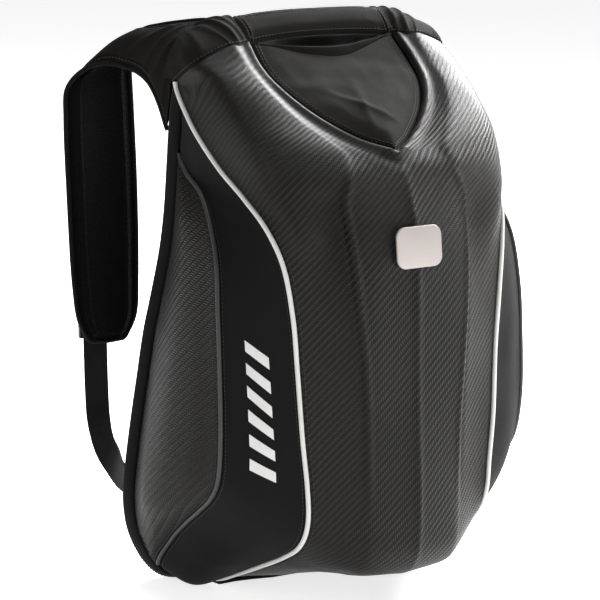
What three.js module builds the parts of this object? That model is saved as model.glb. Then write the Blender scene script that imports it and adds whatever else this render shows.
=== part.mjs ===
// A hard shell backpack that stands on its base, in millimetres, +Z up.
// The shell faces -Y, the wearer's back lies against the +Y side, and the wearer's straps hang behind it.
import * as THREE from 'three';
import { mergeVertices } from 'three/addons/utils/BufferGeometryUtils.js';

// Driving sizes
const HEIGHT = 520;
const HALF_WIDTH = 182;
const DEPTH = 215;
const BASE_CENTRE = 40;
const SHELL_WALL = 1.8;
const CLOTH_WALL = 2;
const GUSSET_WALL = 2;
const POCKET_WALL = 1.6;
const PIPING_RADIUS = 2.1;
const POCKET_PIPING_RADIUS = 2;
const SEAM_GAP = 0.5;
const BAND_STEP = 6;
const BAND_FLANK = 8;
const POCKET_BULGE = 11;
const GUSSET_BULGE = 4;
const REAR_BAND_DEPTH = 14.2;
const REAR_BAND_WALL = 3.5;
const REAR_BAND_TAPER = 4.5;
const REAR_BAND_LIP = 8;
const BACK_PANEL_THICKNESS = 17;
const BACK_PANEL_EDGE = 6;
const BASE_THICKNESS = 3;
const STRAP_REACH = 105;
const PAD_THICKNESS = 10.5;
const PAD_ROOT_THICKNESS = 4;
const HANDLE_THICKNESS = 4;
const WEBBING_THICKNESS = 1.6;
const ADJUSTER = { width: 29, height: 24, thickness: 4, bar: 4.5 };
const BADGE = { width: 46, height: 36, thickness: 2.4, corner: 9, up: 331 };
const BARS = { count: 6, height: 10, pitch: 20.5, lowest: 140, thickness: 0.8, from: 0.36, to: 0.66 };

// A table holds one row for each section, and its lengths are shares of the sizes that they follow.
const table = (columns, rows) =>
  rows.map((row) => Object.fromEntries(columns.map((name, i) => [name, row[i]])));
const PLACE = ['out', 'front', 'up'];

// The body's guide lines share their rows, from the foot of the shell to its top seam.
const CROWN = table(PLACE, [
  [0, 0.12, 0.001], [0, 0.251, 0.003], [0, 0.484, 0.027], [0, 0.688, 0.048], [0, 0.842, 0.059],
  [0, 0.935, 0.077], [0, 0.986, 0.108], [0, 1, 0.163], [0, 1, 0.229], [0, 0.988, 0.329],
  [0, 0.981, 0.435], [0, 0.979, 0.529], [0, 0.972, 0.615], [0, 0.953, 0.673], [0, 0.912, 0.721],
  [0, 0.86, 0.76], [0, 0.809, 0.79],
]);
const INSERT_EDGE = table(PLACE, [
  [0, 0.809, 0.79], [0.137, 0.726, 0.806], [0.291, 0.609, 0.842], [0.385, 0.484, 0.879],
  [0.418, 0.349, 0.913], [0.409, 0.233, 0.952],
]);
const INSERT_MIDDLE = table(PLACE, [
  [0, 0.809, 0.79], [0, 0.744, 0.814], [0, 0.633, 0.848], [0, 0.521, 0.877], [0, 0.414, 0.904],
  [0, 0.321, 0.923],
]);
// A ridge row's step is the share of the band's height that is left beside it.
const RIDGE = table([...PLACE, 'step'], [
  [0.242, 0.12, 0.002, 0], [0.242, 0.242, 0.006, 0], [0.242, 0.465, 0.033, 0.1],
  [0.242, 0.665, 0.056, 0.2], [0.242, 0.809, 0.066, 0.5], [0.242, 0.902, 0.08, 0.8],
  [0.242, 0.949, 0.112, 0.8], [0.247, 0.958, 0.165, 0.8], [0.25, 0.958, 0.229, 0.8],
  [0.255, 0.958, 0.329, 0.8], [0.272, 0.963, 0.435, 1], [0.297, 0.951, 0.529, 1.1],
  [0.313, 0.93, 0.612, 1.3], [0.324, 0.902, 0.669, 1.3], [0.33, 0.874, 0.717, 0.9],
  [0.286, 0.856, 0.756, 0.1], [0.247, 0.797, 0.786, -0.2], [0.302, 0.735, 0.808, -0.3],
  [0.396, 0.633, 0.842, -0.3], [0.456, 0.516, 0.879, -0.3], [0.467, 0.381, 0.914, -0.2],
  [0.495, 0.27, 0.951, 0],
]);
const SHOULDER = table(PLACE, [
  [0.451, 0.1, 0.004], [0.451, 0.209, 0.01], [0.44, 0.409, 0.034], [0.423, 0.567, 0.058],
  [0.407, 0.702, 0.076], [0.407, 0.805, 0.1], [0.412, 0.856, 0.131], [0.423, 0.874, 0.179],
  [0.429, 0.879, 0.235], [0.434, 0.881, 0.327], [0.451, 0.877, 0.435], [0.478, 0.865, 0.529],
  [0.525, 0.849, 0.612], [0.571, 0.837, 0.671], [0.625, 0.79, 0.717], [0.643, 0.748, 0.76],
  [0.65, 0.704, 0.793], [0.657, 0.65, 0.819], [0.662, 0.581, 0.844], [0.667, 0.488, 0.875],
  [0.672, 0.377, 0.906], [0.712, 0.247, 0.923],
]);
const PIPING = table(PLACE, [
  [0.618, 0.08, 0.007], [0.593, 0.209, 0.012], [0.566, 0.349, 0.036], [0.533, 0.488, 0.063],
  [0.503, 0.628, 0.092], [0.5, 0.744, 0.121], [0.511, 0.819, 0.154], [0.516, 0.847, 0.187],
  [0.525, 0.851, 0.24], [0.547, 0.847, 0.317], [0.566, 0.833, 0.435], [0.588, 0.828, 0.529],
  [0.624, 0.8, 0.617], [0.668, 0.735, 0.673], [0.703, 0.609, 0.717], [0.725, 0.451, 0.756],
  [0.736, 0.312, 0.796], [0.739, 0.242, 0.819], [0.736, 0.172, 0.844], [0.734, 0.122, 0.865],
  [0.731, 0.098, 0.877], [0.731, 0.09, 0.886],
]);
// The seam is the gusset's rear edge, and the pocket's front edge where a back height is given.
// Swell is how far the gusset's middle stands out, as a share of its named bulge.
const SIDE_SEAM = table([...PLACE, 'back', 'swell'], [
  [0.66, 0.073, 0.012, 0, 0.5], [0.71, 0.073, 0.013, 0, 1.6], [0.84, 0.073, 0.035, 0.036, 3.6],
  [0.848, 0.209, 0.1, 0.085, 3.6], [0.846, 0.326, 0.14, 0.12, 2.6],
  [0.849, 0.442, 0.173, 0.154, 1.6], [0.852, 0.549, 0.206, 0.188, 1.1],
  [0.86, 0.623, 0.244, 0.235, 1], [0.868, 0.66, 0.317, 0.313, 1], [0.868, 0.656, 0.435, 0.431, 1],
  [0.863, 0.637, 0.529, 0.519, 1], [0.841, 0.591, 0.617, 0.604, 1], [0.808, 0.493, 0.673, 0.658, 1],
  [0.764, 0.353, 0.712, 0.696, 1], [0.728, 0.167, 0.738, 0.731, 0.8],
  [0.703, 0.073, 0.765, 0.765, 0.5], [0.694, 0.073, 0.8, 0, 0.3], [0.69, 0.073, 0.825, 0, 0.2],
  [0.687, 0.073, 0.846, 0, 0.1],
]);
const RIM = table(['out', 'up'], [
  [0, 0], [0.33, 0], [0.62, 0], [0.73, 0.002], [0.813, 0.013], [0.879, 0.035], [0.934, 0.065],
  [0.978, 0.102], [0.997, 0.138], [1, 0.175], [0.986, 0.221], [0.956, 0.292], [0.918, 0.369],
  [0.874, 0.456], [0.83, 0.519], [0.78, 0.596], [0.753, 0.663], [0.736, 0.737], [0.723, 0.798],
  [0.709, 0.846], [0.681, 0.888], [0.621, 0.923], [0.527, 0.943], [0.36, 0.943], [0, 0.941],
]);
// Top cloth: a row for each of the shell's guide lines at the top seam.
const YOKE_RISE = table(PLACE, [
  [0.418, 0.158, 0.979], [0.495, 0.186, 0.977], [0.571, 0.19, 0.969], [0.715, 0.186, 0.943],
  [0.738, 0.056, 0.89],
]);
const YOKE_TOP = table(PLACE, [
  [0.418, 0.079, 0.993], [0.495, 0.084, 0.989], [0.566, 0.084, 0.979], [0.692, 0.079, 0.948],
  [0.738, 0.028, 0.891],
]);
const YOKE_BACK = table(PLACE, [
  [0.423, 0.003, 0.988], [0.495, 0.003, 0.984], [0.566, 0.003, 0.974], [0.681, 0.003, 0.946],
  [0.738, 0.003, 0.89],
]);
// The hollow under the handle: a row for each line from the insert's top edge to the rear.
const HOLLOW = table(['front', 'up', 'end_front', 'end_up'], [
  [0.318, 0.924, 0.235, 0.953], [0.307, 0.941, 0.228, 0.951], [0.265, 0.932, 0.2, 0.944],
  [0.19, 0.912, 0.167, 0.942], [0.114, 0.925, 0.116, 0.944], [0.08, 0.946, 0.082, 0.947],
]);
const HOLLOW_HALF = 0.402;
// The handle: a row for each place out from the middle, with its lower edge, crest and upper edge.
const HANDLE = table(['out', 'low_front', 'low_up', 'mid_front', 'mid_up', 'top_front', 'top_up'], [
  [0, 0.205, 0.966, 0.142, 0.989, 0.088, 0.999], [0.21, 0.209, 0.964, 0.144, 0.989, 0.084, 0.998],
  [0.33, 0.219, 0.961, 0.149, 0.985, 0.084, 0.996], [0.406, 0.23, 0.958, 0.153, 0.98, 0.084, 0.993],
]);
// The strap: a row for each section from the yoke down, with its inner edge, middle and outer edge.
const STRAP_PLACE = ['out', 'back', 'up'];
const STRAP_INNER = table(STRAP_PLACE, [
  [0.423, -0.002, 0.983], [0.473, 0.133, 0.985], [0.538, 0.343, 0.979], [0.593, 0.552, 0.971],
  [0.626, 0.762, 0.96], [0.637, 0.914, 0.933], [0.632, 0.99, 0.888], [0.626, 0.99, 0.827],
  [0.621, 0.952, 0.673], [0.626, 0.933, 0.504], [0.643, 0.924, 0.438], [0.703, 0.924, 0.398],
]);
const STRAP_MIDDLE = table(STRAP_PLACE, [
  [0.648, -0.002, 0.937], [0.665, 0.124, 0.942], [0.681, 0.333, 0.944], [0.714, 0.571, 0.944],
  [0.764, 0.79, 0.94], [0.797, 0.943, 0.915], [0.819, 1.019, 0.877], [0.824, 1.019, 0.815],
  [0.819, 0.981, 0.669], [0.813, 0.962, 0.504], [0.808, 0.943, 0.438], [0.808, 0.933, 0.396],
]);
const STRAP_OUTER = table(STRAP_PLACE, [
  [0.731, -0.002, 0.8], [0.739, 0.114, 0.842], [0.747, 0.314, 0.881], [0.78, 0.543, 0.898],
  [0.863, 0.743, 0.904], [0.945, 0.876, 0.89], [1.005, 0.943, 0.858], [1.016, 0.943, 0.804],
  [1.011, 0.924, 0.663], [0.995, 0.905, 0.504], [0.967, 0.905, 0.438], [0.912, 0.905, 0.4],
]);
const WEBBING_INNER = table(STRAP_PLACE, [
  [0.791, 0.965, 0.44], [0.791, 0.955, 0.37], [0.791, 0.945, 0.31], [0.795, 0.91, 0.265],
  [0.815, 0.77, 0.23], [0.865, 0.48, 0.219], [0.94, 0.16, 0.217], [0.972, -0.002, 0.217],
]);
const WEBBING_OUTER = table(STRAP_PLACE, [
  [0.923, 0.965, 0.44], [0.923, 0.955, 0.37], [0.923, 0.945, 0.31], [0.923, 0.905, 0.25],
  [0.926, 0.75, 0.203], [0.943, 0.43, 0.178], [0.972, 0.14, 0.17], [0.983, -0.002, 0.169],
]);

// Places
const at = (out, front, up) => new THREE.Vector3(out, BASE_CENTRE - front, up);
const placed = ({ out, front, up }) => at(out * HALF_WIDTH, front * DEPTH, up * HEIGHT);
const placedBehind = ({ out, back, up }) => at(out * HALF_WIDTH, -back * STRAP_REACH, up * HEIGHT);
const spline = (points) => new THREE.CatmullRomCurve3(points, false, 'centripetal');
const inside = at(0, DEPTH / 2, HEIGHT / 2);
const underStrap = at(HALF_WIDTH / 2, -STRAP_REACH * 0.35, HEIGHT * 0.6);

// A guide gives the place on a line for a row number, whole or between two rows.
function guide(rows, place = placed) {
  const line = spline(rows.map(place));
  return (row) => line.getPoint(row / (rows.length - 1));
}

const lastRow = SHOULDER.length - 1;
const tipRow = CROWN.length - 1;
const crownAt = guide(CROWN);
const insertEdgeAt = guide(INSERT_EDGE);
const insertMiddleAt = guide(INSERT_MIDDLE);
const ridgeAt = guide(RIDGE);
const stepAt = guide(RIDGE, ({ step }) => at(step, 0, 0));
const shoulderAt = guide(SHOULDER);
const pipingAt = guide(PIPING);
const seamAt = guide(SIDE_SEAM);
const middleAt = (row) => (row <= tipRow ? crownAt(row) : insertEdgeAt(row - tipRow));

// The foot of the band's flank lies beside the ridge and further into the bag.
function flankAt(row) {
  const near = 0.1;
  const level = Math.min(row, tipRow - near);
  const rise = crownAt(level + near).sub(crownAt(level - near)).normalize();
  const inward = new THREE.Vector3(0, rise.z, -rise.y);
  const step = stepAt(row).x * BAND_STEP;
  return ridgeAt(row).add(new THREE.Vector3(BAND_FLANK, 0, 0)).addScaledVector(inward, step);
}

// One half of the shell, across from the middle or the insert's edge to the piping.
const shellSection = (row) =>
  spline([middleAt(row), ridgeAt(row), flankAt(row), shoulderAt(row), pipingAt(row)]);

const bulged = (from, to, bulge) =>
  from.clone().add(to).multiplyScalar(0.5).add(new THREE.Vector3(bulge, 0, 0));
const swellAt = guide(SIDE_SEAM, ({ swell }) => at(swell, 0, 0));
const gussetSection = (row) => {
  const near = 0.1;
  const [front, rear] = [pipingAt(row), seamAt(row)];
  const across = rear.clone().sub(front);
  const upward = pipingAt(row + near).sub(pipingAt(Math.max(0, row - near)));
  const outward = across.cross(upward).normalize();
  const middle = front.clone().add(rear).multiplyScalar(0.5);
  return spline([front, middle.addScaledVector(outward, swellAt(row).x * GUSSET_BULGE), rear]);
};

const rimHalf = spline(RIM.map(({ out, up }) => at(out * HALF_WIDTH, 0, up * HEIGHT)));
const rimRows = rimHalf.getSpacedPoints(200);
const rimOut = (up) =>
  rimRows.reduce((best, p) =>
    (p.x > HALF_WIDTH / 2 && Math.abs(p.z - up) < Math.abs(best.z - up) ? p : best)).x;
const backHeightAt = guide(SIDE_SEAM, ({ back }) => at(0, 0, back * HEIGHT));
const pocketBackAt = (row) => {
  const up = backHeightAt(row).z;
  return at(rimOut(up) - REAR_BAND_TAPER, REAR_BAND_DEPTH + 2 * SEAM_GAP, up);
};
const pocketSection = (row) => {
  const width = seamAt(row).distanceTo(pocketBackAt(row));
  const bulge = POCKET_BULGE * Math.min(1, width / (HALF_WIDTH / 2));
  return spline([seamAt(row), bulged(seamAt(row), pocketBackAt(row), bulge), pocketBackAt(row)]);
};

// Rows fall on the same places of every guide, so that pieces on both sides of a seam run side by side.
const ROW_STEP = 5 / 7;
const rowsFrom = (first, final) =>
  Array.from({ length: final - first + 1 }, (_, i) => tipRow + (first + i) * ROW_STEP);

// The sine of the angle at which a section meets the seam at its end.
function meeting(section, row, end) {
  const near = 0.05;
  const seam = section(row + near).getPoint(end).sub(section(row - near).getPoint(end)).normalize();
  return Math.max(0.3, section(row).getTangent(end).cross(seam).length());
}

// A grid of places: a section for each row, each sampled evenly and kept clear of its two seams.
function grid(section, rows, steps, clearances = [0, 0]) {
  return rows.map((row) => {
    const line = section(row);
    const length = line.getLength();
    const gaps = clearances.map((gap) => (typeof gap === 'function' ? gap(row) : gap));
    const [start, end] = gaps.map((gap, i) => gap && gap / meeting(section, row, i) / length);
    const share = (j) => Math.min(1, start + ((1 - start - end) * j) / steps);
    return Array.from({ length: steps + 1 }, (_, j) => line.getPointAt(share(j)));
  });
}

const evenly = (from, to, steps) =>
  Array.from({ length: steps + 1 }, (_, i) => from + ((to - from) * i) / steps);

// The row at which a guide that rises reaches a height, no higher than the insert's tip.
function rowAt(line, up) {
  let [low, high] = [5, tipRow];
  for (let i = 0; i < 30; i++) {
    const middle = (low + high) / 2;
    if (line(middle).z < up) low = middle;
    else high = middle;
  }
  return low;
}

// A flat box shape round a place on its upright middle line, with round corners if wanted.
function box(width, height, up = 0, corner = 0) {
  const [x, y] = [width / 2, height / 2];
  const shape = new THREE.Shape();
  const turns = [[1, -1, 1.5], [1, 1, 0], [-1, 1, 0.5], [-1, -1, 1]];
  for (const [sideways, upright, turn] of turns) {
    const [cx, cy] = [sideways * (x - corner), up + upright * (y - corner)];
    if (corner) shape.absarc(cx, cy, corner, turn * Math.PI, (turn + 0.5) * Math.PI);
    else if (shape.curves.length || turn === 0) shape.lineTo(cx, cy);
    else shape.moveTo(cx, cy);
  }
  return shape;
}

const flipped = (rows) => rows.map((row) => row.map((p) => new THREE.Vector3(-p.x, p.y, p.z)).reverse());

function gridTriangles(rows) {
  const corners = [];
  for (let i = 1; i < rows.length; i++) {
    for (let j = 1; j < rows[i].length; j++) {
      const [a, b, c, d] = [rows[i - 1][j - 1], rows[i - 1][j], rows[i][j], rows[i][j - 1]];
      corners.push(a, b, c, a, c, d);
    }
  }
  return corners;
}

// A closed body from triangles whose corners repeat: corners that fall together are merged.
function welded(corners) {
  const soup = new THREE.BufferGeometry().setFromPoints(corners);
  return mergeVertices(soup, 0.01);
}

// A wall of even thickness behind the faces of some grids, closed round its open edges.
function wall(grids, thickness, inward = inside, lift = 0) {
  const sheet = welded(grids.flatMap(gridTriangles));
  sheet.computeVertexNormals();
  const { position, normal } = sheet.attributes;
  const point = (attribute, i) => new THREE.Vector3().fromBufferAttribute(attribute, i);
  let facing = 0;
  for (let i = 0; i < position.count; i++) {
    facing += point(position, i).sub(inward).dot(point(normal, i));
  }
  const sign = Math.sign(facing);
  const moved = (i, distance) =>
    point(position, i).addScaledVector(point(normal, i), sign * distance);
  const depthAt = typeof thickness === 'function' ? thickness : () => thickness;
  const outer = Array.from({ length: position.count }, (_, i) => moved(i, lift));
  const inner = outer.map((_, i) => moved(i, lift - depthAt(point(position, i))));
  const index = Array.from(sheet.index.array);
  const corners = [];
  const edges = new Map();
  for (let i = 0; i < index.length; i += 3) {
    const face = sign > 0 ? index.slice(i, i + 3) : index.slice(i, i + 3).reverse();
    if (new Set(face).size < 3) continue;
    corners.push(...face.map((k) => outer[k]), ...face.map((k) => inner[k]).reverse());
    for (let k = 0; k < 3; k++) {
      const [from, to] = [face[k], face[(k + 1) % 3]];
      if (!edges.delete(`${to} ${from}`)) edges.set(`${from} ${to}`, [from, to]);
    }
  }
  for (const [from, to] of edges.values()) {
    corners.push(outer[from], inner[from], inner[to], outer[from], inner[to], outer[to]);
  }
  return welded(corners);
}

// A line along a guide whose places fall on the guide's rows.
class GuideLine extends THREE.Curve {
  constructor(place, rows) {
    super();
    this.place = (share) => place(rows[0] + (rows.at(-1) - rows[0]) * share);
  }

  getPoint(share) {
    return this.place(share);
  }

  getPointAt(share) {
    return this.place(share);
  }
}

// A round cord along a guide, with one step for each row.
const CORD_SIDES = 6;
function cord(place, rows, radius) {
  const corner = (i) => (i * 2 * Math.PI) / CORD_SIDES;
  const round = new THREE.Shape(Array.from({ length: CORD_SIDES }, (_, i) =>
    new THREE.Vector2(Math.cos(corner(i)), Math.sin(corner(i))).multiplyScalar(radius)));
  return new THREE.ExtrudeGeometry(round, {
    steps: rows.length - 1, bevelEnabled: false, extrudePath: new GuideLine(place, rows),
  });
}

function mirrored(geometry) {
  const other = geometry.index ? geometry.toNonIndexed() : geometry.clone();
  other.scale(-1, 1, 1);
  const { array } = other.attributes.position;
  for (let i = 0; i < array.length; i += 9) {
    for (let k = 0; k < 3; k++) {
      [array[i + 3 + k], array[i + 6 + k]] = [array[i + 6 + k], array[i + 3 + k]];
    }
  }
  const plain = new THREE.BufferGeometry();
  plain.setAttribute('position', other.attributes.position);
  return plain;
}

// Looks
const finish = (color, roughness, metalness = 0) =>
  new THREE.MeshStandardMaterial({ color, roughness, metalness });
const looks = {
  carbon: finish(0x35363a, 0.38),
  cloth: finish(0x2b2a28, 0.85),
  softTop: finish(0x3a3937, 0.8),
  gusset: finish(0x1a1a1b, 0.7),
  palePiping: finish(0xc9c9c7, 0.5),
  darkPiping: finish(0x4a4a49, 0.55),
  mesh: finish(0x0d0d0e, 0.95),
  webbing: finish(0x121212, 0.85),
  plastic: finish(0x151515, 0.45),
  satin: finish(0xbdb4b2, 0.32, 0.9),
  reflective: finish(0xc4c3c1, 0.5),
};

const bag = new THREE.Group();
bag.name = 'hard_shell_backpack';

function add(name, geometry, material) {
  const mesh = new THREE.Mesh(geometry, material);
  mesh.name = name;
  bag.add(mesh);
}

// Both sides are alike: the pieces are made on the +X side and mirrored for the other.
function addPair(name, geometry, material) {
  add(`${name}_right`, geometry, material);
  add(`${name}_left`, mirrored(geometry), material);
}

// Shell
const shellClearance = PIPING_RADIUS + SEAM_GAP;
function shell() {
  const body = grid(shellSection, rowsFrom(-21, 0), 10, [0, shellClearance]);
  const wing = grid(shellSection, rowsFrom(0, 7), 10, [0, shellClearance]);
  return wall([body, flipped(body), wing, flipped(wing)], SHELL_WALL);
}
add('shell', shell(), looks.carbon);

// Insert
const insertSection = (row) => {
  const edge = insertEdgeAt(row);
  return spline([new THREE.Vector3(-edge.x, edge.y, edge.z), insertMiddleAt(row), edge]);
};
const insertRows = [0.3, 0.6, 1.1, 1.7, 2.3, 2.9, 3.5, 4.1, 4.6, 4.94];
const insertClearance = [2 * SEAM_GAP, 2 * SEAM_GAP];
add('top_insert', wall([grid(insertSection, insertRows, 12, insertClearance)], CLOTH_WALL), looks.softTop);

// Hollow under the handle
function hollow() {
  const half = HOLLOW_HALF * HALF_WIDTH;
  const across = (row) => {
    const { front, up, end_front: endFront, end_up: endUp } = HOLLOW[row];
    const end = (side) => at(side * half, endFront * DEPTH, endUp * HEIGHT);
    return spline([end(-1), at(0, front * DEPTH, up * HEIGHT), end(1)]);
  };
  return wall([grid(across, HOLLOW.map((_, row) => row), 14)], CLOTH_WALL);
}
add('top_panel', hollow(), looks.cloth);

// Handle
function handle() {
  const edge = (name) => {
    const half = HANDLE.map((row) => [row.out, row[`${name}_front`], row[`${name}_up`]]);
    const full = [...half.slice(1).reverse().map(([out, ...rest]) => [-out, ...rest]), ...half];
    return guide(full, ([out, front, up]) => at(out * HALF_WIDTH, front * DEPTH, up * HEIGHT));
  };
  const [low, mid, top] = ['low', 'mid', 'top'].map(edge);
  const rows = evenly(0, 2 * (HANDLE.length - 1), 16);
  const section = (row) => spline([low(row), mid(row), top(row)]);
  return wall([grid(section, rows, 6)], HANDLE_THICKNESS);
}
add('grab_handle', handle(), looks.cloth);

// Yokes
function yoke() {
  const lines = [YOKE_RISE, YOKE_TOP, YOKE_BACK].map((rows) => guide(rows));
  const top = shellSection(lastRow);
  const seam = (row) => top.getPoint(row / (YOKE_TOP.length - 1));
  const section = (row) => spline([seam(row), ...lines.map((line) => line(row))]);
  return wall([grid(section, evenly(0.1, YOKE_TOP.length - 1, 9), 8, [2 * SEAM_GAP, 0])], CLOTH_WALL);
}
addPair('yoke', yoke(), looks.cloth);

// Sides
const pocketRows = rowsFrom(-19, -2);
const isBesidePocket = (row) => row > pocketRows[0] - 1 && row < pocketRows.at(-1) + 1;
const besidePiping = (row) => (isBesidePocket(row) ? POCKET_PIPING_RADIUS + 2 * SEAM_GAP : SEAM_GAP);
const gussetClearance = [PIPING_RADIUS + SEAM_GAP, besidePiping];
const pocketClearance = [POCKET_PIPING_RADIUS + SEAM_GAP, 0];
addPair('gusset', wall([grid(gussetSection, rowsFrom(-22, 2), 5, gussetClearance)], GUSSET_WALL),
  looks.gusset);
addPair('pocket', wall([grid(pocketSection, pocketRows.slice(0, -1), 6, pocketClearance)], POCKET_WALL),
  looks.carbon);

// Piping
addPair('piping', cord(pipingAt, rowsFrom(-22, 7), PIPING_RADIUS), looks.palePiping);
addPair('pocket_piping', cord(seamAt, pocketRows, POCKET_PIPING_RADIUS), looks.darkPiping);

// Rear band, a ring round the rim
const rimLoop = (count) => {
  const half = rimHalf.getSpacedPoints(count / 2);
  return [...half, ...half.slice(1, -1).reverse().map((p) => new THREE.Vector3(-p.x, p.y, p.z))];
};
function ringed(loop, section) {
  const rows = loop.map((p, i) => {
    const before = loop[(i + loop.length - 1) % loop.length];
    const after = loop[(i + 1) % loop.length];
    const out = new THREE.Vector3(after.z - before.z, 0, before.x - after.x).normalize();
    return section.map(([offset, front]) => at(p.x, front, p.z).addScaledVector(out, offset));
  });
  const closed = [...rows, rows[0]].map((row) => [...row, row[0]]);
  return welded(gridTriangles(closed));
}
const rearBand = [
  [-REAR_BAND_TAPER, REAR_BAND_DEPTH],
  [-SEAM_GAP / 2, REAR_BAND_DEPTH * 0.4],
  [-1.5, SEAM_GAP],
  [-REAR_BAND_LIP, SEAM_GAP],
  [-REAR_BAND_TAPER - REAR_BAND_WALL, REAR_BAND_DEPTH],
];
add('rear_band', ringed(rimLoop(64), rearBand), looks.gusset);

// Back panel
function panel() {
  const outline = rimLoop(44).map((p, i, loop) => {
    const before = loop[(i + loop.length - 1) % loop.length];
    const after = loop[(i + 1) % loop.length];
    const out = new THREE.Vector2(after.z - before.z, before.x - after.x).normalize();
    const inset = REAR_BAND_LIP - 2 * SEAM_GAP + BACK_PANEL_EDGE;
    return new THREE.Vector2(p.x, p.z).addScaledVector(out, -inset);
  });
  const slab = new THREE.ExtrudeGeometry(new THREE.Shape(outline), {
    depth: BACK_PANEL_THICKNESS - 2 * BACK_PANEL_EDGE,
    bevelEnabled: true, bevelSegments: 2, bevelThickness: BACK_PANEL_EDGE, bevelSize: BACK_PANEL_EDGE,
  });
  slab.rotateX(Math.PI / 2);
  slab.translate(0, BASE_CENTRE + BACK_PANEL_THICKNESS - BACK_PANEL_EDGE, 0);
  return slab;
}
add('back_panel', panel(), looks.mesh);

// Base
function base() {
  const foot = grid(shellSection, rowsFrom(-21, -21), 6, [0, shellClearance])[0];
  const side = [pipingAt(0.4), pipingAt(0)].map((p) => at(p.x - shellClearance, BASE_CENTRE - p.y, 0));
  const rear = at(side[1].x, REAR_BAND_DEPTH - 4 * SEAM_GAP, 0);
  const half = [...foot, side[0], rear].map((p) => new THREE.Vector2(p.x, p.y));
  half.forEach((p, i) => { if (i < foot.length) p.y += 2 * SEAM_GAP; });
  const other = half.slice(1).reverse().map((p) => new THREE.Vector2(-p.x, p.y));
  const plate = new THREE.ExtrudeGeometry(new THREE.Shape([...half, ...other]), {
    depth: BASE_THICKNESS, bevelEnabled: false,
  });
  return plate;
}
add('base_panel', base(), looks.gusset);

// Straps
function ribbon(tables, rowSteps, steps, thickness) {
  const lines = tables.map((rows) => guide(rows, placedBehind));
  const section = (row) => spline(lines.map((line) => line(row)));
  return wall([grid(section, evenly(0, tables[0].length - 1, rowSteps), steps)], thickness, underStrap);
}
// The pad is thin where it is sewn in, and full a short way behind the back.
const padThickness = ({ y }) => THREE.MathUtils.lerp(PAD_ROOT_THICKNESS, PAD_THICKNESS,
  THREE.MathUtils.clamp((y - BASE_CENTRE) / (STRAP_REACH * 0.5), 0, 1));
addPair('strap', ribbon([STRAP_INNER, STRAP_MIDDLE, STRAP_OUTER], 24, 6, padThickness), looks.mesh);
addPair('webbing', ribbon([WEBBING_INNER, WEBBING_OUTER], 16, 2, WEBBING_THICKNESS), looks.webbing);

// Adjusters, behind the lower ends of the pads
function adjuster() {
  const { width, height, thickness, bar } = ADJUSTER;
  const frame = box(width, height);
  frame.holes.push(box(width - 2 * bar, (height - 3 * bar) / 2, (height - bar) / 4 + bar / 4));
  frame.holes.push(box(width - 2 * bar, (height - 3 * bar) / 2, -(height - bar) / 4 - bar / 4));
  const plate = new THREE.ExtrudeGeometry(frame, { depth: thickness, bevelEnabled: false });
  const [inner, outer] = [WEBBING_INNER, WEBBING_OUTER].map((rows) => guide(rows, placedBehind)(0.2));
  const place = inner.lerp(outer, 0.5);
  plate.rotateX(Math.PI / 2);
  plate.translate(place.x, place.y + thickness + 2 * SEAM_GAP, place.z);
  return plate;
}
addPair('adjuster', adjuster(), looks.plastic);

// Badge, a plain plate on the middle band
function badge() {
  const { width, height, thickness, corner, up } = BADGE;
  const row = rowAt(crownAt, up);
  const plate = new THREE.ExtrudeGeometry(box(width, height, 0, corner), {
    depth: thickness, bevelEnabled: false, curveSegments: 5,
  });
  const [below, above] = [crownAt(row - 0.3), crownAt(row + 0.3)];
  plate.rotateX(Math.PI / 2);
  plate.translate(0, -SEAM_GAP, 0);
  plate.rotateX(-Math.atan2(above.y - below.y, above.z - below.z));
  plate.translate(...crownAt(row).toArray());
  return plate;
}
add('badge', badge(), looks.satin);

// Reflective bars, one above the other on the left gusset
function bar(up) {
  const { height, thickness, from, to } = BARS;
  const middle = (row) => gussetSection(row).getPointAt((from + to) / 2);
  const rows = evenly(rowAt(middle, up - height / 2), rowAt(middle, up + height / 2), 2);
  const places = rows.map((row) => evenly(from, to, 3).map((share) => gussetSection(row).getPointAt(share)));
  return wall([places], thickness, inside, thickness + SEAM_GAP);
}
for (let i = 0; i < BARS.count; i++) {
  add(`gusset_bar_${i + 1}`, mirrored(bar(BARS.lowest + i * BARS.pitch)), looks.reflective);
}

export default bag;
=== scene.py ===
"""A hard shell backpack, dressed on its solid frame.

Woven-film shell, sewn cloth, piping, straps and a small studio.
"""

import math

import bmesh
import bpy
import numpy as np
from bpy.props import FloatProperty, FloatVectorProperty, PointerProperty
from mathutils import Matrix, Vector, noise


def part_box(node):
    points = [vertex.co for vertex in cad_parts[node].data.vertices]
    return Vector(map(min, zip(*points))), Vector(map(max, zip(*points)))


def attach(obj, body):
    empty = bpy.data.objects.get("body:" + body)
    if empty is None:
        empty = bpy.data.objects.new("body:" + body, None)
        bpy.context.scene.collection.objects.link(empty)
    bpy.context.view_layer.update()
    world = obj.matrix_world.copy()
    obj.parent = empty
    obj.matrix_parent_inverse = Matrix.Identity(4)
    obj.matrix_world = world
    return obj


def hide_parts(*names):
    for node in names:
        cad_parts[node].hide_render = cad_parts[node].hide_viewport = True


bl_info = {
    "name": "Hard shell backpack",
    "version": (1, 0, 0),
    "blender": (4, 5, 0),
    "location": "3D View > Sidebar > Backpack",
    "description": "Builds the cloth, shell, trim and straps of a hard shell backpack on its frame",
    "category": "Object",
}

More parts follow.
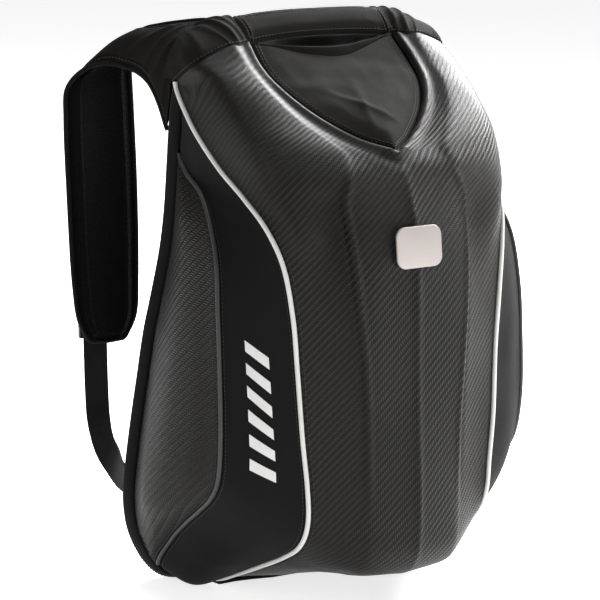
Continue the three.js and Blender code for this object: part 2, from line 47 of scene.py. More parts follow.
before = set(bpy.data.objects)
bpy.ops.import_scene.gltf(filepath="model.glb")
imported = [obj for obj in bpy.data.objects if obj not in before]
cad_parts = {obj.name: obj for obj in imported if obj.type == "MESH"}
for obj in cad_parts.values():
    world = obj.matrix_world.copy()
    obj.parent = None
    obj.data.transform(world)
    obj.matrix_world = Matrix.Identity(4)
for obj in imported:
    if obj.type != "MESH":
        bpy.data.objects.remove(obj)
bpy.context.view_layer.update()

# Sizes of the frame, in metres
HEIGHT = 0.52
HALF_WIDTH = 0.182
DEPTH = 0.215
BASE_CENTRE = 0.04
STRAP_REACH = 0.105
BAND_STEP = 0.006
BAND_FLANK = 0.008
POCKET_BULGE = 0.011
GUSSET_BULGE = 0.004
REAR_BAND_DEPTH = 0.0142
REAR_BAND_TAPER = 0.0045
PANEL_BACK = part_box("back_panel")[1].y

# Raised and sunk lines: height in metres, then where the middle lies and how wide it is, in metres
LIP = (0.0022, 0.0045, 0.0032)
LIP_ROOT = (-0.0014, 0, 0.0016)
LIP_GROOVE = (-0.0012, 0.0125, 0.005)
RIDGE_CREST = (0.0017, 0, 0.003)
RIDGE_FOOT = (-0.001, 0.0075, 0.003)
KEEL = (0.0013, 0, 0.0036)
SHELL_SEAM = (-0.0016, 0, 0.0035)
INSERT_SEAM = (-0.0022, 0, 0.003)
GUSSET_SEAM = (-0.0013, 0, 0.004)
POCKET_SEAM = (-0.0014, 0, 0.004)
# The same, with the middle and the width as shares of the piece
HANDLE_SEAM = (-0.0014, 0.74, 0.022)
HANDLE_END_SEAM = (-0.0014, 0.035, 0.008)
YOKE_SEAM = (-0.0016, 0, 0.05)
STRAP_QUILT = (-0.0016, 0.14, 0.022)
# Unevenness of the cloth: height and scale in metres, stretch along each axis, seed
INSERT_RUMPLE = (0.0011, 0.022, (1, 1, 1.4), 3.1)
HOLLOW_RUMPLE = (0.001, 0.02, (1, 1.5, 1), 8.0)
HANDLE_END_RUMPLE = (0.0012, 0.016, (1.6, 1, 1), 5.5)
HANDLE_RUMPLE = (0.0006, 0.03, (0.5, 1, 1), 2.2)
YOKE_RUMPLE = (0.0013, 0.024, (1, 1, 1), 11.0)
GUSSET_RUMPLE = (0.0007, 0.045, (1, 1, 0.6), 4.0)
STRAP_RUMPLE = (0.0014, 0.025, (1, 1, 1), 6.0)

# How finely lines are read, and the small gaps and lifts between the pieces, in metres
LINE_STEPS = 240
RIM_STEPS = 400
SEAM_GAP = 0.0006
STITCH_LIFT = 0.0002
STITCH_SHARE = 0.72

# The body's guide lines, with lengths as shares of the sizes: (out, front, up) for each row
CROWN = [
    (0, 0.12, 0.001), (0, 0.251, 0.003), (0, 0.484, 0.027), (0, 0.688, 0.048), (0, 0.842, 0.059),
    (0, 0.935, 0.077), (0, 0.986, 0.108), (0, 1, 0.163), (0, 1, 0.229), (0, 0.988, 0.329),
    (0, 0.981, 0.435), (0, 0.979, 0.529), (0, 0.972, 0.615), (0, 0.953, 0.673), (0, 0.912, 0.721),
    (0, 0.86, 0.76), (0, 0.809, 0.79),
]
INSERT_EDGE = [
    (0, 0.809, 0.79), (0.137, 0.726, 0.806), (0.291, 0.609, 0.842), (0.385, 0.484, 0.879),
    (0.418, 0.349, 0.913), (0.409, 0.233, 0.952),
]
INSERT_MIDDLE = [
    (0, 0.809, 0.79), (0, 0.744, 0.814), (0, 0.633, 0.848), (0, 0.521, 0.877), (0, 0.414, 0.904),
    (0, 0.321, 0.923),
]
# The last column is the share of the band's step that is left beside the ridge
RIDGE = [
    (0.242, 0.12, 0.002, 0), (0.242, 0.242, 0.006, 0), (0.242, 0.465, 0.033, 0.1),
    (0.242, 0.665, 0.056, 0.2), (0.242, 0.809, 0.066, 0.5), (0.242, 0.902, 0.08, 0.8),
    (0.242, 0.949, 0.112, 0.8), (0.247, 0.958, 0.165, 0.8), (0.25, 0.958, 0.229, 0.8),
    (0.255, 0.958, 0.329, 0.8), (0.272, 0.963, 0.435, 1), (0.297, 0.951, 0.529, 1.1),
    (0.313, 0.93, 0.612, 1.3), (0.324, 0.902, 0.669, 1.3), (0.33, 0.874, 0.717, 0.9),
    (0.286, 0.856, 0.756, 0.1), (0.247, 0.797, 0.786, -0.2), (0.302, 0.735, 0.808, -0.3),
    (0.396, 0.633, 0.842, -0.3), (0.456, 0.516, 0.879, -0.3), (0.467, 0.381, 0.914, -0.2),
    (0.495, 0.27, 0.951, 0),
]
SHOULDER = [
    (0.451, 0.1, 0.004), (0.451, 0.209, 0.01), (0.44, 0.409, 0.034), (0.423, 0.567, 0.058),
    (0.407, 0.702, 0.076), (0.407, 0.805, 0.1), (0.412, 0.856, 0.131), (0.423, 0.874, 0.179),
    (0.429, 0.879, 0.235), (0.434, 0.881, 0.327), (0.451, 0.877, 0.435), (0.478, 0.865, 0.529),
    (0.525, 0.849, 0.612), (0.571, 0.837, 0.671), (0.625, 0.79, 0.717), (0.643, 0.748, 0.76),
    (0.65, 0.704, 0.793), (0.657, 0.65, 0.819), (0.662, 0.581, 0.844), (0.667, 0.488, 0.875),
    (0.672, 0.377, 0.906), (0.712, 0.247, 0.923),
]
PIPING = [
    (0.618, 0.08, 0.007), (0.593, 0.209, 0.012), (0.566, 0.349, 0.036), (0.533, 0.488, 0.063),
    (0.503, 0.628, 0.092), (0.5, 0.744, 0.121), (0.511, 0.819, 0.154), (0.516, 0.847, 0.187),
    (0.525, 0.851, 0.24), (0.547, 0.847, 0.317), (0.566, 0.833, 0.435), (0.588, 0.828, 0.529),
    (0.624, 0.8, 0.617), (0.668, 0.735, 0.673), (0.703, 0.609, 0.717), (0.725, 0.451, 0.756),
    (0.736, 0.312, 0.796), (0.739, 0.242, 0.819), (0.736, 0.172, 0.844), (0.734, 0.122, 0.865),
    (0.731, 0.098, 0.877), (0.731, 0.09, 0.886),
]
# The last columns are the pocket's height at the rear band and the gusset's swell
SIDE_SEAM = [
    (0.66, 0.073, 0.012, 0.012, 0.5), (0.71, 0.073, 0.013, 0.013, 1.6), (0.84, 0.073, 0.035, 0.036, 3.6),
    (0.848, 0.209, 0.1, 0.085, 3.6), (0.846, 0.326, 0.14, 0.12, 2.6), (0.849, 0.442, 0.173, 0.154, 1.6),
    (0.852, 0.549, 0.206, 0.188, 1.1), (0.86, 0.623, 0.244, 0.235, 1), (0.868, 0.66, 0.317, 0.313, 1),
    (0.868, 0.656, 0.435, 0.431, 1), (0.863, 0.637, 0.529, 0.519, 1), (0.841, 0.591, 0.617, 0.604, 1),
    (0.808, 0.493, 0.673, 0.658, 1), (0.764, 0.353, 0.712, 0.696, 1), (0.728, 0.167, 0.738, 0.731, 0.8),
    (0.703, 0.073, 0.765, 0.765, 0.5), (0.694, 0.073, 0.8, 0.8, 0.3), (0.69, 0.073, 0.825, 0.825, 0.2),
    (0.687, 0.073, 0.846, 0.846, 0.1),
]
RIM = [
    (0, 0), (0.33, 0), (0.62, 0), (0.73, 0.002), (0.813, 0.013), (0.879, 0.035), (0.934, 0.065),
    (0.978, 0.102), (0.997, 0.138), (1, 0.175), (0.986, 0.221), (0.956, 0.292), (0.918, 0.369),
    (0.874, 0.456), (0.83, 0.519), (0.78, 0.596), (0.753, 0.663), (0.736, 0.737), (0.723, 0.798),
    (0.709, 0.846), (0.681, 0.888), (0.621, 0.923), (0.527, 0.943), (0.36, 0.943), (0, 0.941),
]
YOKE_RISE = [
    (0.418, 0.158, 0.979), (0.495, 0.186, 0.977), (0.571, 0.19, 0.969), (0.715, 0.186, 0.943),
    (0.738, 0.056, 0.89),
]
YOKE_TOP = [
    (0.418, 0.079, 0.993), (0.495, 0.084, 0.989), (0.566, 0.084, 0.979), (0.692, 0.079, 0.948),
    (0.738, 0.028, 0.891),
]
YOKE_BACK = [
    (0.423, 0.003, 0.988), (0.495, 0.003, 0.984), (0.566, 0.003, 0.974), (0.681, 0.003, 0.946),
    (0.738, 0.003, 0.89),
]
# The hollow under the handle: (front, up) in the middle and (front, up) at the ends
HOLLOW = [
    (0.318, 0.924, 0.235, 0.953), (0.307, 0.941, 0.228, 0.951), (0.265, 0.932, 0.2, 0.944),
    (0.19, 0.912, 0.167, 0.942), (0.114, 0.925, 0.116, 0.944), (0.08, 0.946, 0.082, 0.947),
]
HOLLOW_HALF = 0.402
# The handle: (out, low edge's front and up, crest's front and up, upper edge's front and up)
HANDLE = [
    (0, 0.205, 0.966, 0.142, 0.989, 0.088, 0.999), (0.21, 0.209, 0.964, 0.144, 0.989, 0.084, 0.998),
    (0.33, 0.219, 0.961, 0.149, 0.985, 0.084, 0.996), (0.406, 0.23, 0.958, 0.153, 0.98, 0.084, 0.993),
]
# The strap: (out, back, up) of its inner edge, middle and outer edge from the yoke down
STRAP_INNER = [
    (0.423, -0.002, 0.983), (0.473, 0.133, 0.985), (0.538, 0.343, 0.979), (0.593, 0.552, 0.971),
    (0.626, 0.762, 0.96), (0.637, 0.914, 0.933), (0.632, 0.99, 0.888), (0.626, 0.99, 0.827),
    (0.621, 0.952, 0.673), (0.626, 0.933, 0.504), (0.643, 0.924, 0.438), (0.703, 0.924, 0.398),
]
STRAP_MIDDLE = [
    (0.648, -0.002, 0.937), (0.665, 0.124, 0.942), (0.681, 0.333, 0.944), (0.714, 0.571, 0.944),
    (0.764, 0.79, 0.94), (0.797, 0.943, 0.915), (0.819, 1.019, 0.877), (0.824, 1.019, 0.815),
    (0.819, 0.981, 0.669), (0.813, 0.962, 0.504), (0.808, 0.943, 0.438), (0.808, 0.933, 0.396),
]
STRAP_OUTER = [
    (0.731, -0.002, 0.8), (0.739, 0.114, 0.842), (0.747, 0.314, 0.881), (0.78, 0.543, 0.898),
    (0.863, 0.743, 0.904), (0.945, 0.876, 0.89), (1.005, 0.943, 0.858), (1.016, 0.943, 0.804),
    (1.011, 0.924, 0.663), (0.995, 0.905, 0.504), (0.967, 0.905, 0.438), (0.912, 0.905, 0.4),
]
WEBBING_INNER = [
    (0.791, 0.965, 0.44), (0.791, 0.955, 0.37), (0.791, 0.945, 0.31), (0.795, 0.91, 0.265),
    (0.815, 0.77, 0.23), (0.865, 0.48, 0.219), (0.94, 0.16, 0.217), (0.972, -0.002, 0.217),
]
WEBBING_OUTER = [
    (0.923, 0.965, 0.44), (0.923, 0.955, 0.37), (0.923, 0.945, 0.31), (0.923, 0.905, 0.25),
    (0.926, 0.75, 0.203), (0.943, 0.43, 0.178), (0.972, 0.14, 0.17), (0.983, -0.002, 0.169),
]

TIP_ROW = len(CROWN) - 1
LAST_ROW = len(SHOULDER) - 1
EDGE_LAST = len(INSERT_EDGE) - 1
INSIDE = np.array((0, BASE_CENTRE - DEPTH / 2, HEIGHT / 2))
UNDER_STRAP = np.array((HALF_WIDTH / 2, BASE_CENTRE + STRAP_REACH * 0.35, HEIGHT * 0.6))
SIDES = {"right": 1, "left": -1}


def lengths(run):
    """Metres along a run of places, from 0 at its first place."""
    return np.concatenate(([0], np.cumsum(np.linalg.norm(np.diff(run, axis=0), axis=1))))


class Line:
    """A smooth line through places, read at shares from its first place to its last."""

    def __init__(self, places):
        self.places = np.asarray(places, float)

    def at(self, share):
        p = self.places
        last = len(p) - 1
        reach = np.atleast_1d(np.asarray(share, float)).clip(0, 1) * last
        i = np.minimum(reach.astype(int), last - 1)
        w = (reach - i)[:, None]
        before = np.where((i > 0)[:, None], p[i - 1], 2 * p[0] - p[1])
        after = np.where((i + 2 <= last)[:, None], p[np.minimum(i + 2, last)], 2 * p[last] - p[last - 1])
        a, b = p[i], p[i + 1]

        def span(x, y):
            return np.maximum(np.sqrt(np.linalg.norm(y - x, axis=1)), 1e-6)[:, None]

        d0, d1, d2 = span(before, a), span(a, b), span(b, after)
        d0, d2 = np.where(d0 < 1e-4, d1, d0), np.where(d2 < 1e-4, d1, d2)
        t0 = ((a - before) / d0 - (b - before) / (d0 + d1) + (b - a) / d1) * d1
        t1 = ((b - a) / d1 - (after - a) / (d1 + d2) + (after - b) / d2) * d1
        cubic = 2 * a - 2 * b + t0 + t1
        square = -3 * a + 3 * b - 2 * t0 - t1
        return ((cubic * w + square) * w + t0) * w + a

    def evenly(self, shares, start=0.0, end=0.0):
        """Places at shares of the length, with start and end metres left out."""
        dense = self.at(np.linspace(0, 1, LINE_STEPS))
        along = lengths(dense)
        wanted = start + (along[-1] - start - end) * np.asarray(shares, float)
        return np.stack([np.interp(wanted, along, dense[:, k]) for k in range(3)], 1)


def place(out, front, up):
    return np.array((out * HALF_WIDTH, BASE_CENTRE - front * DEPTH, up * HEIGHT))


def behind(out, back, up):
    return np.array((out * HALF_WIDTH, BASE_CENTRE + back * STRAP_REACH, up * HEIGHT))


def guide(rows, where=place):
    """The place on a line through a table's rows, for a row number that may lie between two rows."""
    line = Line([where(*row[:3]) for row in rows])
    return lambda row: line.at(row / (len(rows) - 1))[0]


def column(rows, index):
    line = Line([(row[index], 0, 0) for row in rows])
    return lambda row: line.at(row / (len(rows) - 1))[0][0]


crown_at = guide(CROWN)
insert_edge_at = guide(INSERT_EDGE)
insert_middle_at = guide(INSERT_MIDDLE)
ridge_at = guide(RIDGE)
step_at = column(RIDGE, 3)
shoulder_at = guide(SHOULDER)
piping_at = guide(PIPING)
seam_at = guide(SIDE_SEAM)
back_height_at = column(SIDE_SEAM, 3)
swell_at = column(SIDE_SEAM, 4)


def unit(v):
    return v / (np.linalg.norm(v, axis=-1, keepdims=True) + 1e-12)


def middle_at(row):
    return crown_at(row) if row <= TIP_ROW else insert_edge_at(row - TIP_ROW)


def flank_at(row):
    level = min(row, TIP_ROW - 0.1)
    rise = unit(crown_at(level + 0.1) - crown_at(level - 0.1))
    step = np.array((0, rise[2], -rise[1])) * step_at(row) * BAND_STEP
    return ridge_at(row) + np.array((BAND_FLANK, 0, 0)) + step


def shell_line(row):
    return Line([middle_at(row), ridge_at(row), flank_at(row), shoulder_at(row), piping_at(row)])


def gusset_line(row):
    front, rear = piping_at(row), seam_at(row)
    upward = piping_at(row + 0.1) - piping_at(max(0, row - 0.1))
    outward = unit(np.cross(rear - front, upward))
    return Line([front, (front + rear) / 2 + outward * swell_at(row) * GUSSET_BULGE, rear])


RIM_HALF = Line([(out * HALF_WIDTH, 0, up * HEIGHT) for out, up in RIM])


def rim_out(up):
    dense = RIM_HALF.evenly(np.linspace(0, 1, RIM_STEPS))
    dense = dense[dense[:, 0] > HALF_WIDTH / 2]
    return dense[np.argmin(abs(dense[:, 2] - up)), 0]


def pocket_line(row):
    up = back_height_at(row) * HEIGHT
    back = np.array((rim_out(up) - REAR_BAND_TAPER, BASE_CENTRE - REAR_BAND_DEPTH - SEAM_GAP, up))
    front = seam_at(row)
    bulge = POCKET_BULGE * min(1, np.linalg.norm(front - back) / (HALF_WIDTH / 2))
    return Line([front, (front + back) / 2 + np.array((bulge, 0, 0)), back])


def yoke_line(row):
    seam = shell_line(LAST_ROW).at(row / 4)[0]
    return Line([seam, guide(YOKE_RISE)(row), guide(YOKE_TOP)(row), guide(YOKE_BACK)(row)])


def insert_line(row):
    edge = insert_edge_at(row)
    return Line([edge * (-1, 1, 1), insert_middle_at(row), edge])


def patch(line, rows, steps, start=0.0, end=0.0):
    """A grid of places: one line for each row, each read evenly along its length."""
    shares = np.linspace(0, 1, steps + 1)
    return np.array([line(row).evenly(shares, start, end) for row in rows])


def outward_normals(grid, inside):
    normal = unit(np.cross(np.gradient(grid, axis=0), np.gradient(grid, axis=1)))
    lengths = np.linalg.norm(np.cross(np.gradient(grid, axis=0), np.gradient(grid, axis=1)), axis=2)
    facing = np.sum((grid - inside) * normal, axis=2)
    return normal * (1 if np.sum(facing * lengths) > 0 else -1)


def moved(grid, shape, inside=INSIDE):
    """The grid with each place moved out from the surface by its share of the shape, in metres."""
    return grid + outward_normals(grid, inside) * np.asarray(shape)[..., None]


def bump_at(distance, centre, width):
    """A soft hill: 1 at its centre, fading over its width."""
    return np.exp(-(((distance - centre) / width) ** 2))


def relief(distance, line):
    """A raised or sunk line of the surface, from one of the rows above."""
    height, centre, width = line
    return height * bump_at(distance, centre, width)


def smooth(low, high, value):
    """A soft step: 0 up to the low value, 1 from the high value on."""
    t = np.clip((value - low) / (high - low), 0, 1)
    return t * t * (3 - 2 * t)


def rumple(grid, height, scale, stretch, seed):
    """Soft noise over a grid of places."""
    flat = grid.reshape(-1, 3) * np.array(stretch) / scale + seed
    values = [noise.noise(Vector(p)) for p in flat]
    return height * np.array(values).reshape(grid.shape[:-1])


def from_sides(grid):
    """Metres from each place to the first or last place of its row, whichever is nearer."""
    ends = [np.linalg.norm(grid - end, axis=2) for end in (grid[:, :1], grid[:, -1:])]
    return np.minimum(*ends)


def fold(grid, start, end, width, fade=0.35):
    """A long crease between two places: 1 on its line, fading across its width and towards both ends."""
    start, end = np.array(start), np.array(end)
    way = end - start
    share = np.sum((grid - start) * way, axis=-1) / np.dot(way, way)
    across = np.linalg.norm(grid - (start + share[..., None] * way), axis=-1)
    ends = smooth(-fade / 2, fade, share) * (1 - smooth(1 - fade, 1 + fade / 2, share))
    return bump_at(across, 0, width) * ends


def tucked(grid, reach, drop, sides=(True, True)):
    """The grid with a hem that runs on past its first and last columns, under the neighbouring piece."""
    normal = outward_normals(grid, INSIDE)
    hems = []
    for end, near in ((0, 2), (-1, -3)):
        way = unit(grid[:, end] - grid[:, near])
        under = normal[:, end] * drop
        hems.append([(grid[:, end] + way * reach * share - under * min(1, share * 2))[:, None]
                     for share in (0.25, 0.5, 1.0)])
    columns = [grid]
    if sides[0]:
        columns = [*hems[0][::-1], *columns]
    if sides[1]:
        columns = [*columns, *hems[1]]
    return np.concatenate(columns, 1)


# Meshes
def lay_out(grid):
    """Metres along the rows and columns of a grid, for a weave that follows the surface."""
    across = np.stack([lengths(row) for row in grid])
    along = np.stack([lengths(run) for run in grid.swapaxes(0, 1)], 1)
    return across, along


def faces_of(rows, columns, first=0):
    index = first + np.arange(rows * columns).reshape(rows, columns)
    quads = np.stack([index[:-1, :-1], index[:-1, 1:], index[1:, 1:], index[1:, :-1]], -1)
    return quads.reshape(-1, 4)


def ring_faces(rows, columns):
    """Faces between closed rings of places, each joined to the next and the last to the first."""
    index = np.arange(rows * columns).reshape(rows, columns)
    onward = np.roll(index, -1, 1)
    return np.stack([index, onward, np.roll(onward, -1, 0), np.roll(index, -1, 0)], -1)


def linked(name, data):
    """A new object for a mesh, light or camera, in the scene."""
    obj = bpy.data.objects.new(name, data)
    bpy.context.scene.collection.objects.link(obj)
    return obj


def new_mesh(name, places, faces, weave=None):
    mesh = bpy.data.meshes.new(name)
    mesh.from_pydata([tuple(p) for p in places], [], [tuple(int(i) for i in f) for f in faces])
    if weave is not None:
        layer = mesh.attributes.new("weave", "FLOAT_VECTOR", "POINT")
        layer.data.foreach_set("vector", np.asarray(weave, np.float32).ravel())
    mesh.validate()
    mesh.update()
    obj = linked(name, mesh)
    shade(obj)
    return obj


def shade(obj, sharp=40):
    obj.data.polygons.foreach_set("use_smooth", [True] * len(obj.data.polygons))
    obj.data.set_sharp_from_angle(angle=math.radians(sharp))


def merged(obj, distance, sharp=40):
    """Points that fall together are merged, and the faces of a closed or open sheet agree."""
    bm = bmesh.new()
    bm.from_mesh(obj.data)
    bmesh.ops.remove_doubles(bm, verts=bm.verts, dist=distance)
    bmesh.ops.dissolve_degenerate(bm, edges=bm.edges, dist=1e-6)
    bmesh.ops.recalc_face_normals(bm, faces=bm.faces)
    bm.to_mesh(obj.data)
    bm.free()
    shade(obj, sharp)
    return obj


def facing_out(obj, inside):
    """Turns a sheet's faces over where they look towards the inside."""
    mesh = obj.data
    total = sum((f.center - Vector(inside)).dot(f.normal) * f.area for f in mesh.polygons)
    if total < 0:
        mesh.flip_normals()
    return obj


def settled(obj):
    """The object with its modifiers made plain mesh."""
    shown = obj.evaluated_get(bpy.context.evaluated_depsgraph_get())
    mesh = bpy.data.meshes.new_from_object(shown)
    obj.modifiers.clear()
    obj.data = mesh
    return obj


def formed(obj, kind, sharp=None, **settings):
    """Adds one modifier with its settings and makes the result plain mesh."""
    modifier = obj.modifiers.new(kind.lower(), kind)
    for key, value in settings.items():
        setattr(modifier, key, value)
    settled(obj)
    if sharp is not None:
        shade(obj, sharp)


def pad(name, grid, depth, inside):
    """A closed piece on a grid of places, depth metres thick behind it."""
    inner = moved(grid, -np.broadcast_to(depth, grid.shape[:2]), inside)
    rows, columns = grid.shape[:2]
    across, along = lay_out(grid)
    weave = np.stack([across, along, np.zeros_like(across)], -1).reshape(-1, 3)
    back = weave + np.array((0, 0, 1))
    count = rows * columns
    index = np.arange(count).reshape(rows, columns)
    ring = np.concatenate([index[0, :-1], index[:-1, -1], index[-1, :0:-1], index[:0:-1, 0]])
    rim = np.stack([ring, np.roll(ring, -1), np.roll(ring, -1) + count, ring + count], -1)
    fronts, backs = faces_of(rows, columns), faces_of(rows, columns, count)
    faces = np.concatenate([fronts, backs[:, ::-1], rim[:, ::-1]])
    places = np.concatenate([grid.reshape(-1, 3), inner.reshape(-1, 3)])
    return merged(new_mesh(name, places, faces, np.concatenate([weave, back])), 1e-6)


def two_faced(obj):
    """For each face of a padded piece: 1 on its outer side, 0 on its inner side."""
    layer = obj.data.attributes["weave"].data
    return [int(all(layer[i].vector.z < 0.5 for i in face.vertices)) for face in obj.data.polygons]


def tube(name, centre, radius, sides=14):
    """A round tube along a run of places."""
    centre = np.asarray(centre, float)
    tangent = unit(np.gradient(centre, axis=0))
    side = unit(np.cross(tangent[0], (0.3, 0.2, 0.9)))
    first = []
    for way in tangent:
        side = unit(side - way * np.dot(side, way))
        first.append(side)
    first = np.array(first)
    second = np.cross(tangent, first)
    turn = np.linspace(0, 2 * math.pi, sides, endpoint=False)
    ring = np.cos(turn)[None, :, None] * first[:, None] + np.sin(turn)[None, :, None] * second[:, None]
    places = centre[:, None] + ring * radius
    weave = np.stack(np.broadcast_arrays(turn[None, :] * radius, lengths(centre)[:, None], 0.0), -1)
    last = (len(centre) - 1) * sides
    faces = [*ring_faces(len(centre), sides)[:-1].reshape(-1, 4), range(sides), range(last, last + sides)]
    return merged(new_mesh(name, places.reshape(-1, 3), faces, weave.reshape(-1, 3)), 1e-6, 60)


def mirrored(obj, name):
    other = obj.copy()
    other.data = obj.data.copy()
    other.name = other.data.name = name
    bpy.context.scene.collection.objects.link(other)
    for vertex in other.data.vertices:
        vertex.co.x = -vertex.co.x
    other.data.flip_normals()
    other.data.update()
    return other


def both(piece):
    """A piece of the right side and its mirror image, each with the name of its side."""
    return zip((piece, mirrored(piece, piece.name.replace("right", "left"))), SIDES)


def dress(obj, look, slot, *nodes):
    """Gives a finished piece its look and its place in the frame."""
    obj.data.materials.clear()
    obj.data.materials.append(look)
    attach(obj, "root")
    if nodes:
        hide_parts(*nodes)
    return obj


def cut_size(grid):
    """The flat width, length and area of a sheet of cloth from its grid."""
    across, along = lay_out(grid)
    edge_a, edge_b = np.diff(grid, axis=0)[:, :-1], np.diff(grid, axis=1)[:-1]
    area = np.linalg.norm(np.cross(edge_a, edge_b), axis=2).sum()
    width, length = across[:, -1].max(), along[-1].max()
    return (round(float(width), 3), round(float(length), 3)), float(min(area, width * length))


# Shader maths
class Value:
    """A number or socket in a material, on which the usual operators add Math nodes."""

    def __init__(self, tree, socket):
        self.tree = tree
        self.socket = socket

    def math(self, operation, *others, swap=False):
        node = self.tree.nodes.new("ShaderNodeMath")
        node.operation = operation
        values = [self, *others]
        if swap:
            values.reverse()
        for slot, value in zip(node.inputs, values):
            if isinstance(value, Value):
                self.tree.links.new(value.socket, slot)
            else:
                slot.default_value = value
        return Value(self.tree, node.outputs[0])

    def __add__(self, other):
        return self.math("ADD", other)

    def __sub__(self, other):
        return self.math("SUBTRACT", other)

    def __rsub__(self, other):
        return self.math("SUBTRACT", other, swap=True)

    def __mul__(self, other):
        return self.math("MULTIPLY", other)

    def __truediv__(self, other):
        return self.math("DIVIDE", other)

    def __pow__(self, other):
        return self.math("POWER", other)

    __radd__ = __add__
    __rmul__ = __mul__

    def fract(self):
        return self.math("FRACT")

    def below(self, other):
        return self.math("LESS_THAN", other)

    def arch(self):
        """A round hill over each whole step of the value."""
        part = self.fract() * 2 - 1
        return 1 - part * part


class Look:
    """A material under construction: its tree, its shader and the nodes that feed it."""

    def __init__(self, name, colour, rough, metal=0.0, **constants):
        self.colour = colour
        self.material = bpy.data.materials.new(name)
        self.material.use_nodes = True
        self.material.diffuse_color = (*colour, 1)
        self.tree = self.material.node_tree
        self.shader = next(n for n in self.tree.nodes if n.type == "BSDF_PRINCIPLED")
        settings = {"Base Color": (*colour, 1), "Roughness": rough, "Metallic": metal, **constants}
        for socket, value in settings.items():
            self.shader.inputs[socket].default_value = value

    def node(self, kind, settings=(), **sockets):
        """Any node from its type, its settings and its sockets' values or links; _6 is socket 6."""
        node = self.tree.nodes.new(kind)
        for key, value in dict(settings).items():
            setattr(node, key, value)
        for key, value in sockets.items():
            slot = node.inputs[int(key[1:]) if key[0] == "_" else key]
            if isinstance(value, Value):
                self.tree.links.new(value.socket, slot)
            elif isinstance(value, bpy.types.NodeSocket):
                self.tree.links.new(value, slot)
            else:
                slot.default_value = value
        return node

    def value(self, socket):
        return Value(self.tree, socket)

    def weave(self):
        """The metres across and along the piece, and its third value."""
        source = {"attribute_name": "weave", "attribute_type": "GEOMETRY"}
        layer = self.node("ShaderNodeAttribute", source)
        split = self.node("ShaderNodeSeparateXYZ", Vector=layer.outputs["Vector"])
        return [self.value(out) for out in split.outputs]

    def place(self):
        coordinates = self.node("ShaderNodeTexCoord")
        split = self.node("ShaderNodeSeparateXYZ", Vector=coordinates.outputs["Object"])
        return [self.value(out) for out in split.outputs]

    def cloud(self, scale, detail=2.0, rough=0.5, stretch=(1, 1, 1)):
        """Soft noise over the object, from 0 to 1."""
        coordinates = self.node("ShaderNodeTexCoord")
        mapping = self.node("ShaderNodeMapping", Vector=coordinates.outputs["Object"], Scale=stretch)
        cloud = self.node("ShaderNodeTexNoise", Vector=mapping.outputs["Vector"], Scale=scale,
                          Detail=detail, Roughness=rough)
        return self.value(cloud.outputs["Fac"])

    def paint(self, tint, dark, light, rough, height=None, distance=0.0, strength=0.0):
        """Mixes a dark and a light shade of the look's colour by its tint, with roughness and bump."""
        low, high = [(*(c * factor for c in self.colour), 1) for factor in (dark, light)]
        mix = self.node("ShaderNodeMix", {"data_type": "RGBA"}, _0=tint, _6=low, _7=high)
        self.tree.links.new(mix.outputs[2], self.shader.inputs["Base Color"])
        self.tree.links.new(rough.socket, self.shader.inputs["Roughness"])
        if height is not None:
            bump = self.node("ShaderNodeBump", Height=height, Distance=distance, Strength=strength)
            self.tree.links.new(bump.outputs["Normal"], self.shader.inputs["Normal"])
        return self.material


def carbon_look(name, colour, tow, rough=0.34):
    """A film over a twill: each flat tow passes over two and under two, so ribs run up to the right, and
    highlights along the rib crests are painted into its colour.
    """
    finish = {"Coat Weight": 0.03, "Coat Roughness": 0.2, "Specular IOR Level": 0.16}
    look = Look(name, colour, rough, **finish)
    across, along, calm = look.weave()
    a, b = across / tow, along / tow
    turn = (a.math("FLOOR") - b.math("FLOOR")) / 4
    upright = turn.fract().below(0.49)
    hills = b.arch() * (1 - upright) + a.arch() * upright
    rib = ((a - b) / 4).fract()
    rib_hill = rib.math("SUBTRACT", 0.5).math("ABSOLUTE") * 2
    crest = rib_hill ** 2.5 * (0.5 + look.cloud(7.0, 2.0) * 0.8) * (1 - calm)
    height = (hills * 0.3 + crest * 0.7) * (1 - calm)
    wear = look.cloud(9.0, 3.0)
    # Painted highlight: the tint lightens the colour along each rib's crest, where light catches the
    # ribs, with random wear tone and a little of each tow's arch.
    tint = crest * 0.7 + wear * 0.2 + hills * 0.1
    rough_value = 0.04 + rough + upright * 0.08 + wear * 0.1 - crest * 0.1
    return look.paint(tint, 0.4, 2.8, rough_value, height, 0.0011, 1.0)


def cloth_look(name, colour, thread, rough, sheen, wear=0.35, depth=0.0002, ribs=1.0):
    """A plain weave whose threads follow the piece, with soft uneven wear."""
    finish = {"Sheen Weight": sheen, "Sheen Roughness": 0.5, "Specular IOR Level": 0.1}
    look = Look(name, colour, rough, **finish)
    across, along, _ = look.weave()
    a, b = across / thread, along / (thread * ribs)
    check = ((a.math("FLOOR") + b.math("FLOOR")) / 2).fract().below(0.25)
    height = a.arch() * check + b.arch() * (1 - check)
    cloud = look.cloud(14.0, 4.0, 0.6)
    fine = look.cloud(120.0, 2.0)
    tint = height * 0.35 + cloud * wear + fine * 0.2
    rough_value = rough - 0.12 + cloud * 0.15 + fine * 0.08
    total = height + cloud * 0.6
    return look.paint(tint, 0.5, 1.6, rough_value, total, depth, 0.6)


def mesh_look(name, colour, cell):
    """A spacer mesh: small round holes in staggered rows, with shade painted into the holes."""
    look = Look(name, colour, 0.9, **{"Sheen Weight": 0.005, "Specular IOR Level": 0.06})
    x, _, z = look.place()
    row = (z / cell).math("FLOOR")
    a = (x / cell + row * 0.5).fract() - 0.5
    b = (z / cell).fract() - 0.5
    away = (a * a + b * b).math("SQRT")
    hole = away.math("SMOOTH_MIN", 0.34, 0.1) / 0.34
    cloud = look.cloud(20.0, 3.0)
    # Painted shade: the tint darkens the colour inside each hole, where the mesh lies in shade, and the
    # cloud adds random tone.
    tint = hole * 0.7 + cloud * 0.3
    return look.paint(tint, 0.3, 1.7, 0.8 + cloud * 0.15, hole, cell * 0.25, 0.8)


